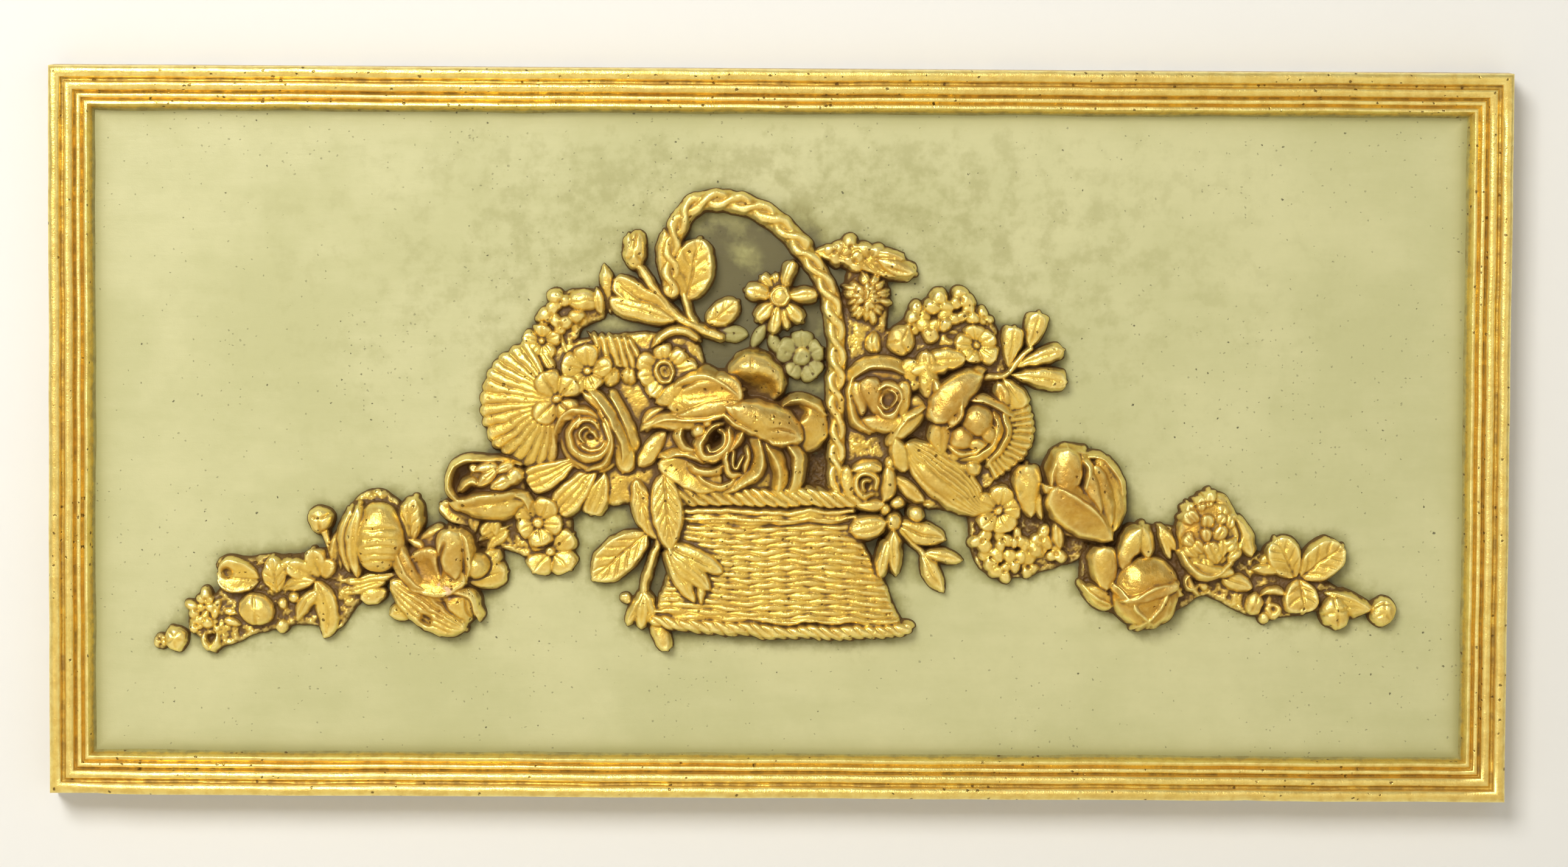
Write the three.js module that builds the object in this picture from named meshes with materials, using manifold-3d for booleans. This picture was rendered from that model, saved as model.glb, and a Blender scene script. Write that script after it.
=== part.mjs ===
// A cast plaster wall plaque: a moulded frame, a flat ground and a relief of a flower basket with two
// bouquets and two garlands, all in one piece. Millimetres, +Z up. The back lies in the plane y = 0,
// the front faces -Y, and the origin is the middle of the back, where the plaque lies on its wall.

import * as THREE from "three";
import { mergeVertices } from "three/addons/utils/BufferGeometryUtils.js";
import Module from "manifold-3d";

const wasm = await Module();
wasm.setup();

// Driving dimensions of the casting
const PLAQUE_WIDTH = 610;
const PLAQUE_HEIGHT = 307;
const GROUND_THICKNESS = 12;

// Frame moulding, from the outer edge to the ground
const FRAME_RISE = 8.4;
const OUTER_DRAFT = 2;
const TORUS_WIDTH = 5;
const COVE_WIDTH = 1.4;
const COVE_DEPTH = 2.6;
const STEP_BEAD_WIDTH = 3.8;
const STEP_BEAD_DROP = 1.1;
const GROOVE_WIDTH = 0.9;
const GROOVE_DEPTH = 1.5;
const SMALL_BEAD_WIDTH = 2.1;
const SMALL_BEAD_DROP = 2.2;
const SIGHT_LIP_WIDTH = 1.7;
const SIGHT_LIP_DROP = 2.8;
const INNER_DRAFT = 1.9;

// Relief: its own length and depth, and the length, height and depth that it is drawn at below
const RELIEF_SIDE_MARGIN = 24.1;
const RELIEF_TOP_MARGIN = 34;
const RELIEF_DEPTH = 21;
const DRAWN_LENGTH = 522.4;
const DRAWN_HEIGHT = 199.4;
const DRAWN_DEPTH = 21;

// Casting details of the relief
const WALL_DRAFT_DEG = 12;
const ROOT_DEPTH = 1.5;
const SHORT_BLADE = 18;

// Rope handle
const HANDLE_WIDTH = 7.4;
const HANDLE_WAIST = 5.8;
const HANDLE_EYE_PITCH = 10;
const HANDLE_RISE = 8.5;
const HANDLE_EYE_RISE = 5.6;

// Basket
const BASKET_TOP = -29;
const BASKET_FOOT = -77;
const BASKET_TOP_LEFT = -41;
const BASKET_TOP_RIGHT = 31;
const BASKET_FOOT_LEFT = -51;
const BASKET_FOOT_RIGHT = 50;
const BASKET_EDGE_RISE = 4.5;
const BASKET_BELLY_RISE = 8.5;
const WEAVE_ROWS = 9;
const WEAVE_STAKES = 5;
const WEAVE_BULGE = 0.7;
const RIM_ROPE_PITCH = 6;
const RIM_ROPE_RISE = 10;
const RIM_ROPE_GROOVE = 1.1;

const DEGREE = Math.PI / 180;
const wallSlope = Math.tan(WALL_DRAFT_DEG * DEGREE);

const frameWidth =
  OUTER_DRAFT +
  TORUS_WIDTH +
  COVE_WIDTH +
  STEP_BEAD_WIDTH +
  GROOVE_WIDTH +
  SMALL_BEAD_WIDTH +
  GROOVE_WIDTH +
  SIGHT_LIP_WIDTH +
  INNER_DRAFT;
const sightWidth = PLAQUE_WIDTH - 2 * frameWidth;
const sightHeight = PLAQUE_HEIGHT - 2 * frameWidth;
const reliefScale = Math.min(
  (sightWidth - 2 * RELIEF_SIDE_MARGIN) / DRAWN_LENGTH,
  (sightHeight - 2 * RELIEF_TOP_MARGIN) / DRAWN_HEIGHT,
);
const depthScale = RELIEF_DEPTH / DRAWN_DEPTH;

// A closed solid from corner points [x, y, z] and triangles that point outwards
function solid(corners, triangles) {
  const geometry = new THREE.BufferGeometry();
  geometry.setAttribute("position", new THREE.Float32BufferAttribute(corners.flat(), 3));
  geometry.setIndex(triangles.flat());
  const merged = mergeVertices(geometry, 1e-4);
  const mesh = new wasm.Mesh({
    numProp: 3,
    vertProperties: new Float32Array(merged.attributes.position.array),
    triVerts: new Uint32Array(merged.index.array),
  });
  return new wasm.Manifold(mesh);
}

// A point of the relief drawing, x to the right, z up and rise above the ground, at its place
function placed([x, z, rise]) {
  return [x * reliefScale, -GROUND_THICKNESS - rise * depthScale, z * reliefScale];
}

// A raised pad of the relief: its top is given by points [x, z, rise] and triangles, seen from the
// front anticlockwise; rim lists the outline's points in order, and feet where their walls come down
function pad(points, top, rim, feet) {
  const corners = [...points, ...feet.map(([x, z]) => [x, z, -ROOT_DEPTH])];
  const first = points.length;
  const triangles = [...top];
  rim.forEach((corner, i) => {
    const next = (i + 1) % rim.length;
    triangles.push([first + i, first + next, corner]);
    triangles.push([first + next, rim[next], corner]);
  });
  const flat = feet.map(([x, z]) => new THREE.Vector2(x, z));
  THREE.ShapeUtils.triangulateShape(flat, []).forEach(([a, b, c]) => {
    triangles.push([first + a, first + c, first + b]);
  });
  return solid(corners.map(placed), triangles);
}

// The foot of a wall that comes down from a point, away from the middle of its pad
function footFrom([centreX, centreZ], [x, z, rise]) {
  const away = Math.hypot(x - centreX, z - centreZ);
  const reach = 1 + (wallSlope * (rise + ROOT_DEPTH)) / away;
  return [centreX + (x - centreX) * reach, centreZ + (z - centreZ) * reach];
}

function between([x, z], [farX, farZ], share) {
  return [x + (farX - x) * share, z + (farZ - z) * share];
}

// Share of the full width along a petal and a leaf, and where along it each is widest
const OUTLINES = {
  petal: (t) => Math.pow(t, 0.55) * Math.pow(1 - t, 0.32) * 1.75,
  leaf: (t) => Math.pow(t, 0.62) * Math.pow(1 - t, 0.62) * 2.36,
};
const WIDEST = { petal: 0.62, leaf: 0.45 };

// A petal or leaf from its root: turn is the direction of its chord in degrees, root and tip are its
// rises, arch lifts its middle, cup lifts its edges, and sweep is how far it turns along its length
function blade(kind, x, z, length, width, turn, root, tip, options = {}) {
  const { arch = 1, cup = -0.8, sweep = 0, steps = length > SHORT_BLADE ? 3 : 2 } = options;
  const bend = sweep * DEGREE;
  const arc = Math.abs(bend) < 0.01 ? length : (length * bend) / 2 / Math.sin(bend / 2);
  const start = turn * DEGREE - bend / 2;
  const spine = (t) => {
    if (Math.abs(bend) < 0.01) {
      return [x + arc * t * Math.cos(start), z + arc * t * Math.sin(start)];
    }
    const radius = arc / bend;
    const heading = start + bend * t;
    return [
      x + radius * (Math.sin(heading) - Math.sin(start)),
      z - radius * (Math.cos(heading) - Math.cos(start)),
    ];
  };
  const rise = (t) => root + (tip - root) * t + arch * 4 * t * (1 - t);
  const drop = (height) => wallSlope * (Math.max(height, 0) + ROOT_DEPTH);
  const points = [[...spine(0), root]];
  const left = [];
  const middle = [];
  const right = [];
  const leftFeet = [];
  const rightFeet = [];
  for (let i = 1; i < steps; i += 1) {
    const t = steps === 2 ? WIDEST[kind] : i / steps;
    const [sx, sz] = spine(t);
    const heading = start + bend * t;
    const half = (OUTLINES[kind](t) * width) / 2;
    const edge = rise(t) + cup;
    const across = [-Math.sin(heading), Math.cos(heading)];
    left.push(points.push([sx + across[0] * half, sz + across[1] * half, edge]) - 1);
    middle.push(points.push([sx, sz, rise(t)]) - 1);
    right.push(points.push([sx - across[0] * half, sz - across[1] * half, edge]) - 1);
    const reach = half + drop(edge);
    leftFeet.push([sx + across[0] * reach, sz + across[1] * reach]);
    rightFeet.push([sx - across[0] * reach, sz - across[1] * reach]);
  }
  const end = points.push([...spine(1), tip]) - 1;
  const top = [
    [0, right[0], middle[0]],
    [0, middle[0], left[0]],
  ];
  for (let i = 0; i + 1 < left.length; i += 1) {
    top.push([right[i], right[i + 1], middle[i + 1]]);
    top.push([right[i], middle[i + 1], middle[i]]);
    top.push([middle[i], middle[i + 1], left[i + 1]]);
    top.push([middle[i], left[i + 1], left[i]]);
  }
  const last = left.length - 1;
  top.push([right[last], end, middle[last]]);
  top.push([middle[last], end, left[last]]);
  const rim = [0, ...right, end, ...left.reverse()];
  const back = drop(root);
  const ahead = drop(tip);
  const finish = start + bend;
  const feet = [
    [x - back * Math.cos(start), z - back * Math.sin(start)],
    ...rightFeet,
    [points[end][0] + ahead * Math.cos(finish), points[end][1] + ahead * Math.sin(finish)],
    ...leftFeet.reverse(),
  ];
  return pad(points, top, rim, feet);
}

const petal = (...values) => blade("petal", ...values);
const leaf = (...values) => blade("leaf", ...values);

// A pad of loops one round another about its middle: each loop is a row of points [x, z, rise]
function nested(centre, loops) {
  const sides = loops[0].length;
  const points = [centre, ...loops.flat()];
  const top = [];
  for (let i = 0; i < sides; i += 1) {
    const next = (i + 1) % sides;
    top.push([0, 1 + i, 1 + next]);
    for (let ring = 1; ring < loops.length; ring += 1) {
      const inner = 1 + (ring - 1) * sides;
      const outer = 1 + ring * sides;
      top.push([inner + i, outer + i, outer + next]);
      top.push([inner + i, outer + next, inner + next]);
    }
  }
  const rim = loops.at(-1).map((point, i) => 1 + (loops.length - 1) * sides + i);
  return pad(points, top, rim, rim.map((corner) => footFrom(centre, points[corner])));
}

// An oval loop round a place; shape gives each corner's share of the full reach and its rise
function oval(x, z, halfWidth, halfHeight, turn, sides, shape) {
  const cos = Math.cos(turn * DEGREE);
  const sin = Math.sin(turn * DEGREE);
  return Array.from({ length: sides }, (none, i) => {
    const angle = (i / sides) * 2 * Math.PI;
    const [share, rise] = shape(angle, i);
    const u = Math.cos(angle) * halfWidth * share;
    const v = Math.sin(angle) * halfHeight * share;
    return [x + u * cos - v * sin, z + u * sin + v * cos, rise];
  });
}

// A bud, berry or the mass of a flower: an oval dome
function dome(x, z, halfWidth, halfHeight, rise, options = {}) {
  const { turn = 0, sides = 6, shoulder = 0.45 } = options;
  const ring = (share, height) => oval(x, z, halfWidth, halfHeight, turn, sides, () => [share, height]);
  return nested([x, z, rise], [ring(0.66, rise * 0.86), ring(0.97, rise * shoulder)]);
}

// A small bead: a dome with a single ring
function bead(x, z, radius, rise, sides = 6) {
  return nested([x, z, rise], [oval(x, z, radius, radius, 0, sides, () => [1, rise * 0.72])]);
}

// An open rose in one pad: folds one round another, each leaning to its own side. ruffle lifts and
// drops every second corner, for a flower of many small petals
function rose(x, z, halfWidth, halfHeight, rise, folds, options = {}) {
  const { turn = 0, sides = 7, lean = 60, groove = 2, edge = 0.5, fall = 1.2, ruffle = 0 } = options;
  const spacing = 1 / (folds + 0.5);
  const loops = [];
  const loop = (share, height, fold) => {
    const side = (lean + 137 * fold) * DEGREE;
    const level = loops.length;
    const ring = oval(x, z, halfWidth, halfHeight, turn, sides, (angle, i) => {
      const bias = Math.cos(angle - side);
      const wave = (i + level) % 2 === 0 ? ruffle : -ruffle;
      return [share * (1 + 0.1 * bias), height + 0.7 * bias + wave];
    });
    loops.push(ring);
  };
  for (let fold = 0; fold < folds; fold += 1) {
    const crest = rise - fall * fold;
    loop(spacing * (fold + 0.75), crest, fold);
    if (fold + 1 < folds) {
      loop(spacing * (fold + 1.1), crest - groove, fold);
    }
  }
  loop(0.98, rise * edge, folds);
  return nested([x, z, rise - groove * 0.6], loops);
}

// A flower in one pad: petals, each [turn, reach, rise], round a raised hub. blunt is how far a
// petal's end spreads towards its neighbours, and notch how far in the gaps between petals reach
function flower(x, z, petals, hub, hubRise, options = {}) {
  const { notch = 0.55, blunt = 0.45, hollow = 1.4, cup = -0.5 } = options;
  const count = petals.length;
  const points = [[x, z, hubRise]];
  const top = [];
  const rim = [];
  const at = (angle, away, rise) =>
    points.push([x + away * Math.cos(angle * DEGREE), z + away * Math.sin(angle * DEGREE), rise]) - 1;
  const gap = (i) => {
    const [turn] = petals[i];
    const next = i + 1 < count ? petals[i + 1][0] : petals[0][0] + 360;
    return (turn + next) / 2;
  };
  const rings = petals.map(([, , rise], i) => at(gap(i), hub, rise - hollow));
  const valleys = petals.map(([, reach, rise], i) => {
    const shorter = Math.min(reach, petals[(i + 1) % count][1]);
    return at(gap(i), hub + (shorter - hub) * notch, rise - hollow);
  });
  petals.forEach(([turn, reach, rise], i) => {
    const before = (i + count - 1) % count;
    const crest = at(turn, hub + (reach - hub) * 0.5, rise);
    const room = (gap(i) - (i > 0 ? gap(before) : gap(before) - 360)) / 2;
    const spread = room * blunt;
    const tips = blunt > 0 ? [at(turn - spread, reach, rise + cup), at(turn + spread, reach, rise + cup)] : [];
    if (blunt === 0) {
      tips.push(at(turn, reach, rise + cup));
    }
    top.push([0, rings[before], rings[i]]);
    top.push([rings[before], crest, rings[i]]);
    top.push([rings[before], valleys[before], crest]);
    top.push([valleys[before], tips[0], crest]);
    if (tips.length === 2) {
      top.push([tips[0], tips[1], crest]);
    }
    top.push([tips.at(-1), valleys[i], crest]);
    top.push([crest, valleys[i], rings[i]]);
    rim.push(...tips, valleys[i]);
  });
  return pad(points, top, rim, rim.map((corner) => footFrom([x, z], points[corner])));
}

// A flower of equal petals
function blossom(x, z, reach, count, firstTurn, rise, hub = 2.3, options = {}) {
  const petals = Array.from({ length: count }, (none, i) => [firstTurn + (i * 360) / count, reach, rise - 1]);
  return flower(x, z, petals, hub, rise, options);
}

// A low web of plaster between leaves and stems: a flat-topped outline
function web(outline, rise) {
  const points = outline.map(([x, z]) => [x, z, rise]);
  const flat = outline.map(([x, z]) => new THREE.Vector2(x, z));
  const top = THREE.ShapeUtils.triangulateShape(flat, []);
  const rim = outline.map((point, i) => i);
  const reach = wallSlope * (rise + ROOT_DEPTH);
  const feet = flat.map((point, i) => {
    const before = flat[(i + flat.length - 1) % flat.length];
    const after = flat[(i + 1) % flat.length];
    const along = after.clone().sub(before).normalize();
    return [point.x + along.y * reach, point.y - along.x * reach];
  });
  return pad(points, top, rim, feet);
}

// A raised strip along a route of stations, each a row of [x, z, rise] from its right to its left.
// Each cell folds along its lower diagonal, so a raised corner stands out as a boss of its own
function strip(stations) {
  const across = stations[0].length;
  const finish = stations.length - 1;
  const points = stations.flat();
  const top = [];
  for (let row = 1; row < stations.length; row += 1) {
    for (let column = 1; column < across; column += 1) {
      const a = (row - 1) * across + column - 1;
      const b = row * across + column - 1;
      const rising = points[a][2] + points[b + 1][2];
      const falling = points[b][2] + points[a + 1][2];
      if (rising < falling) {
        top.push([a, b, b + 1], [a, b + 1, a + 1]);
      } else {
        top.push([a, b, a + 1], [b, b + 1, a + 1]);
      }
    }
  }
  const rim = [];
  const feet = [];
  const sideFoot = (row, column, inwards) => {
    rim.push(row * across + column);
    feet.push(footFrom(stations[row][inwards], stations[row][column]));
  };
  const endFoot = (row, column) => {
    rim.push(row * across + column);
    feet.push(stations[row][column].slice(0, 2));
  };
  stations.forEach((station, row) => sideFoot(row, 0, 1));
  for (let column = 1; column < across - 1; column += 1) {
    endFoot(finish, column);
  }
  for (let row = finish; row >= 0; row -= 1) {
    sideFoot(row, across - 1, across - 2);
  }
  for (let column = across - 2; column > 0; column -= 1) {
    endFoot(0, column);
  }
  return pad(points, top, rim, feet);
}

// A stem along corner points [x, z], with a ridge in the middle
function stem(route, width, rise) {
  const line = route.map(([x, z]) => new THREE.Vector2(x, z));
  const stations = line.map((point, i) => {
    const before = line[Math.max(i - 1, 0)];
    const after = line[Math.min(i + 1, line.length - 1)];
    const along = after.clone().sub(before).normalize();
    const side = (away, height) => [point.x + along.y * away, point.y - along.x * away, height];
    return [side(width / 2, rise * 0.8), side(0, rise), side(-width / 2, rise * 0.8)];
  });
  return strip(stations);
}

// A row of flutes side by side in one pad. roots and tips are the ends of the lines that the flutes
// run from and to, and the roots are on the right of the way from the first flute to the last; rises
// are given at equal steps along a flute. bow and crown lift the row's middle out and up
function flutes(roots, tips, count, rises, options = {}) {
  const { groove = 1.3, scallop = 1, bow = 0, crown = 0.8 } = options;
  const stations = [];
  for (let i = 0; i <= 2 * count; i += 1) {
    const t = i / (2 * count);
    const middle = 4 * t * (1 - t);
    const root = between(roots[0], roots[1], t);
    const tip = between(tips[0], tips[1], t);
    const length = Math.hypot(tip[0] - root[0], tip[1] - root[1]);
    const crest = i % 2 === 1;
    const start = between(root, tip, (-bow * middle) / length);
    const end = between(root, tip, 1 + ((crest ? scallop : 0) + bow * middle) / length);
    const lift = crown * middle - (crest ? 0 : groove);
    stations.push(rises.map((rise, k) => [...between(start, end, k / (rises.length - 1)), rise + lift]));
  }
  return strip(stations);
}

// A pleated fan, like a scallop shell: ribs from an inner to an outer arc about a centre
function fan(x, z, from, to, radius, ribs, inner, outer) {
  const hub = 7;
  const ripple = 0.9;
  const stations = [];
  for (let i = 0; i <= 2 * ribs; i += 1) {
    const t = i / (2 * ribs);
    const angle = (to + (from - to) * t) * DEGREE;
    const wave = i % 2 === 0 ? -ripple : ripple;
    const reach = radius(1 - t) + wave * 0.5;
    const at = (away, rise) => [x + away * Math.cos(angle), z + away * Math.sin(angle), rise];
    stations.push([at(hub, inner + wave * 0.6), at(reach, outer + wave)]);
  }
  return strip(stations);
}

// Two cords twisted loosely together along a curve: high sides and a sunk eye, then a waist where
// the cords cross
function rope(curve) {
  const eyes = Math.round(curve.getLength() / HANDLE_EYE_PITCH);
  const stations = [];
  for (let i = 0; i <= 2 * eyes; i += 1) {
    const share = i / (2 * eyes);
    const point = curve.getPointAt(share);
    const along = curve.getTangentAt(share);
    const atEye = i % 2 === 1;
    const half = (atEye ? HANDLE_WIDTH : HANDLE_WAIST) / 2;
    const side = (away, rise) => [point.x + along.y * away, point.y - along.x * away, rise];
    stations.push([
      side(half, HANDLE_RISE - 0.8),
      side(0, atEye ? HANDLE_EYE_RISE : HANDLE_RISE),
      side(-half, HANDLE_RISE - 0.8),
    ]);
  }
  return strip(stations);
}

// Where the basket's side stands at a share of its height, from the top down
function basketSide(top, foot, share) {
  const flare = share * share * 0.45 + share * 0.55;
  return top + (foot - top) * flare;
}

// The basket's body: a bulging pad with the weave as a checker of raised and sunk corners
function basketBody() {
  const columns = 2 * WEAVE_STAKES;
  const stations = [];
  for (let row = 0; row <= WEAVE_ROWS; row += 1) {
    const down = row / WEAVE_ROWS;
    const z = BASKET_TOP + (BASKET_FOOT - BASKET_TOP) * down;
    const left = basketSide(BASKET_TOP_LEFT, BASKET_FOOT_LEFT, down);
    const right = basketSide(BASKET_TOP_RIGHT, BASKET_FOOT_RIGHT, down);
    const station = [];
    for (let column = 0; column <= columns; column += 1) {
      const across = column / columns;
      const belly = Math.sqrt(Math.max(0, 1 - Math.pow(2 * across - 1, 4)));
      const weave = (row + column) % 2 === 0 ? WEAVE_BULGE : -WEAVE_BULGE;
      const rise = BASKET_EDGE_RISE + (BASKET_BELLY_RISE - BASKET_EDGE_RISE) * belly;
      station.push([left + (right - left) * across, z, rise + weave]);
    }
    stations.push(station);
  }
  return strip(stations);
}

// A straight rope along the basket: strands that slant down to the right, with grooves between them
function ropeRim(left, right, height, sag, tall, rise) {
  const count = Math.round((right - left) / RIM_ROPE_PITCH);
  const slant = tall * 0.35;
  const stations = [];
  for (let i = 0; i <= 2 * count; i += 1) {
    const t = i / (2 * count);
    const x = left + (right - left) * t;
    const z = height - sag * 4 * t * (1 - t);
    const crest = i % 2 === 1 ? rise : rise - RIM_ROPE_GROOVE;
    stations.push([
      [x + slant, z - tall / 2, crest - 0.6],
      [x - slant, z + tall / 2, crest],
    ]);
  }
  return strip(stations);
}

function basket() {
  return [
    basketBody(),
    ropeRim(BASKET_TOP_LEFT, BASKET_TOP_RIGHT, -26, 0, 8, RIM_ROPE_RISE),
    ropeRim(BASKET_FOOT_LEFT + 2, BASKET_FOOT_RIGHT + 2, -78.5, 2.5, 5.5, RIM_ROPE_RISE - 1),
  ];
}

// The garland to the left of the bouquets, from its tip inwards
function leftGarland() {
  return [
    bead(-257.5, -87.5, 3.4, 3.6),
    dome(-251, -86, 4.9, 5.3, 6.5),
    flutes([[-242, -80], [-231, -80]], [[-242, -69], [-231, -69]], 3, [4.2, 5], { scallop: 2.4 }),
    bead(-236, -86, 5, 4.6),
    petal(-216, -61, 16, 13.5, 174, 4, 6, { cup: 1.2 }),
    leaf(-208, -67, 14.5, 10, 97, 4, 7),
    dome(-217, -73.5, 7.2, 7.2, 9.5, { sides: 8 }),
    flutes([[-196, -63], [-186, -62]], [[-205, -55], [-184, -50]], 2, [4.6, 6.8]),
    petal(-201, -79, 16, 6.5, 52, 4, 7),
    leaf(-193, -62, 23, 8, -82, 6, 4, { sweep: -70 }),
    bead(-204, -75, 4.4, 5.6),
    dome(-190.5, -36.5, 5.3, 5.2, 7.5),
  ];
}

// The fluted bud lying on its side, its sepals and the leaves under it
function flutedBud() {
  return [
    flutes([[-177, -26], [-177, -57]], [[-157, -28], [-160, -58]], 5, [6.2, 6.6], { bow: 2.4, crown: 4 }),
    leaf(-180, -60, 25, 9, 92, 5, 8.6),
    leaf(-184, -63, 26, 6, 8, 3, 6, { steps: 2 }),
    petal(-163, -66, 11, 8, 195, 4, 5),
  ];
}

// The open rose low in the left garland
function lowerRose() {
  return [
    rose(-143, -61, 16.5, 17.5, 10.5, 2, { lean: -40 }),
    petal(-158, -43, 35, 5, -47, 11, 11, { sweep: 75, steps: 4 }),
    petal(-130, -62, 26, 18, 163, 12.5, 8.5, { cup: 0.6 }),
    petal(-134, -61, 21.5, 13, 96, 14, 16, { cup: -2 }),
    bead(-125.5, -55, 5.8, 14),
    leaf(-130, -61, 17.5, 9, 12, 8, 5),
    dome(-134, -71, 9, 10.5, 11),
    leaf(-151, -71, 12, 8, 205, 6, 4),
    leaf(-153, -46, 19, 8.5, 70, 6, 9),
  ];
}

// The cup-shaped rose high in the left garland and the sepals under it
function cupRose() {
  return [
    dome(-121, -21, 17.5, 13.5, 10.5, { sides: 8 }),
    petal(-131, -8, 19, 4, -90, 13, 14, { sweep: 100, steps: 4 }),
    petal(-134, -30, 29, 12, 4, 9, 9, { cup: -2.5, arch: 3 }),
    petal(-133, -26, 26, 4.6, 2, 14, 14, { sweep: 35 }),
    petal(-126, -24, 18, 12, 45, 12, 12),
    petal(-110, -25, 12, 5, -48, 11, 8),
    flutes([[-127, -45], [-114, -45]], [[-128, -32], [-112, -32]], 2, [5, 6.2]),
    web(
      [
        [-137, -30],
        [-128, -46],
        [-102, -52],
        [-88, -50],
        [-88, -26],
        [-110, -20],
      ],
      3.2,
    ),
    blossom(-95, -48.5, 11, 4, 225, 6.5),
    blossom(-100, -37, 9.5, 5, 62, 9, 2.8, { blunt: 0 }),
  ];
}

// The bouquet to the left of the basket
function leftBouquet() {
  const fanReach = (t) => 22 + 10 * Math.pow(Math.sin(Math.PI * (0.12 + 0.72 * t)), 0.7);
  return [
    web(
      [
        [-100, -14],
        [-74, -30],
        [-52, -24],
        [-34, -6],
        [-33, 36],
        [-52, 42],
        [-72, 56],
        [-90, 57],
        [-100, 30],
      ],
      4.4,
    ),
    fan(-92, 14, 116, 264, fanReach, 9, 9, 5),
    flutes([[-57, 38], [-78, 40]], [[-50, 28], [-71, 29.5]], 4, [6, 6.8]),
    leaf(-83, -11, 23, 10, 205, 7, 6, { cup: 0.8 }),
    leaf(-75, -13, 25, 10, 228, 7, 6),
    leaf(-72, -15, 19, 8, 252, 6, 5),
    rose(-78, -1, 15, 15.5, 13, 2, { lean: 0 }),
    petal(-72, 12, 27, 9, -66, 12, 10),
    blossom(-91.5, 15, 11.5, 4, 133, 12),
    blossom(-79.5, 26.5, 10, 5, 88, 10.5, 2.2, { blunt: 0 }),
    blossom(-47, 26, 12, 8, 12, 11.5, 3.8, { blunt: 0 }),
    petal(-50.5, 14, 12.5, 9, 25, 10.5, 12.5, { cup: -1.2 }),
    blossom(-90, 50, 7.5, 4, 100, 7, 1.8, { blunt: 0 }),
    blossom(-99, 38, 7.5, 4, 90, 7.5, 1.6, { blunt: 0 }),
    leaf(-47, 1, 18.5, 8, 232, 8, 9.5),
  ];
}

// Buds, leaves and flowers that rise to the left of the handle and inside it
function aboveTheBasket() {
  const daisyPetals = [
    [4, 15, 7.5],
    [68, 16, 6.5],
    [104, 10, 4.6],
    [136, 12, 4.8],
    [168, 14.5, 7],
    [224, 14.5, 7],
    [259, 15.5, 7],
    [284, 14, 6.2],
    [316, 14, 6.5],
  ];
  return [
    petal(-44, 49, 29, 9, 151, 7, 6, { cup: 0.8 }),
    petal(-43, 47.5, 29, 8.5, 168, 8, 7),
    dome(-60, 76, 4.6, 8.3, 8.5),
    stem([[-58, 69], [-45, 51], [-25, 41]], 3.4, 7),
    leaf(-40, 56, 26.5, 18, 84, 5.5, 7, { cup: 0.9 }),
    leaf(-30, 46, 16.5, 9.5, 38, 5, 6),
    flower(0, 57.5, daisyPetals, 5, 9.5, { notch: 0.3, blunt: 0 }),
    blossom(9, 32.5, 10, 5, 20, 5.5, 4),
    dome(-11, 23.5, 12, 10.5, 11),
    petal(-21.5, 25, 23, 7, -22, 15, 15, { sweep: -140, steps: 4 }),
    bead(10, 5, 8.5, 6.5),
    petal(0.5, 9, 18, 4.6, 0, 11, 11, { sweep: -120, steps: 4 }),
  ];
}

// The rose that leans over the basket's front
function centralRose() {
  return [
    dome(-19, -6, 30, 18.5, 11.5, { sides: 7 }),
    petal(-50, -12, 26, 13, -18, 9, 10),
    rose(-27, -4, 15, 11, 16.5, 2, { turn: 45, groove: 2.4, edge: 0.7 }),
    petal(3, -4, 22, 5.5, -86, 14, 11, { sweep: -60 }),
    petal(-9, -2, 25, 4.6, -118, 16, 13, { sweep: -75 }),
    petal(-46, 8, 33, 15, 22, 13, 17.5, { cup: 1.2 }),
    petal(-57, 4, 38, 9, 10, 10, 17.5),
    petal(-22, 12, 34.5, 15.5, -16, 19, 16, { cup: -2.2, arch: 2, steps: 4 }),
    petal(-6, 0.5, 14, 6, -5, 17, 15.5, { cup: 0.8 }),
  ];
}

// Leaves, a rosebud and a hanging bud over the basket's left side
function leftSprig() {
  return [
    leaf(-60, -19, 25, 9, -70, 7, 7),
    leaf(-47.5, -16, 31, 11.5, -85, 10, 10),
    leaf(-55.5, -41, 28, 14.5, 222, 5, 5, { cup: 0.8 }),
    leaf(-45, -46, 24.5, 8.5, -27, 10.5, 10.5),
    leaf(-46, -47, 24, 9, -45, 11, 11),
    stem([[-50, -43], [-56, -66]], 2.8, 6),
    leaf(-56, -65, 16, 7, 262, 6, 5),
    petal(-52.5, -76, 15, 7, -66, 4, 6, { cup: -1.2 }),
  ];
}

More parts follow.
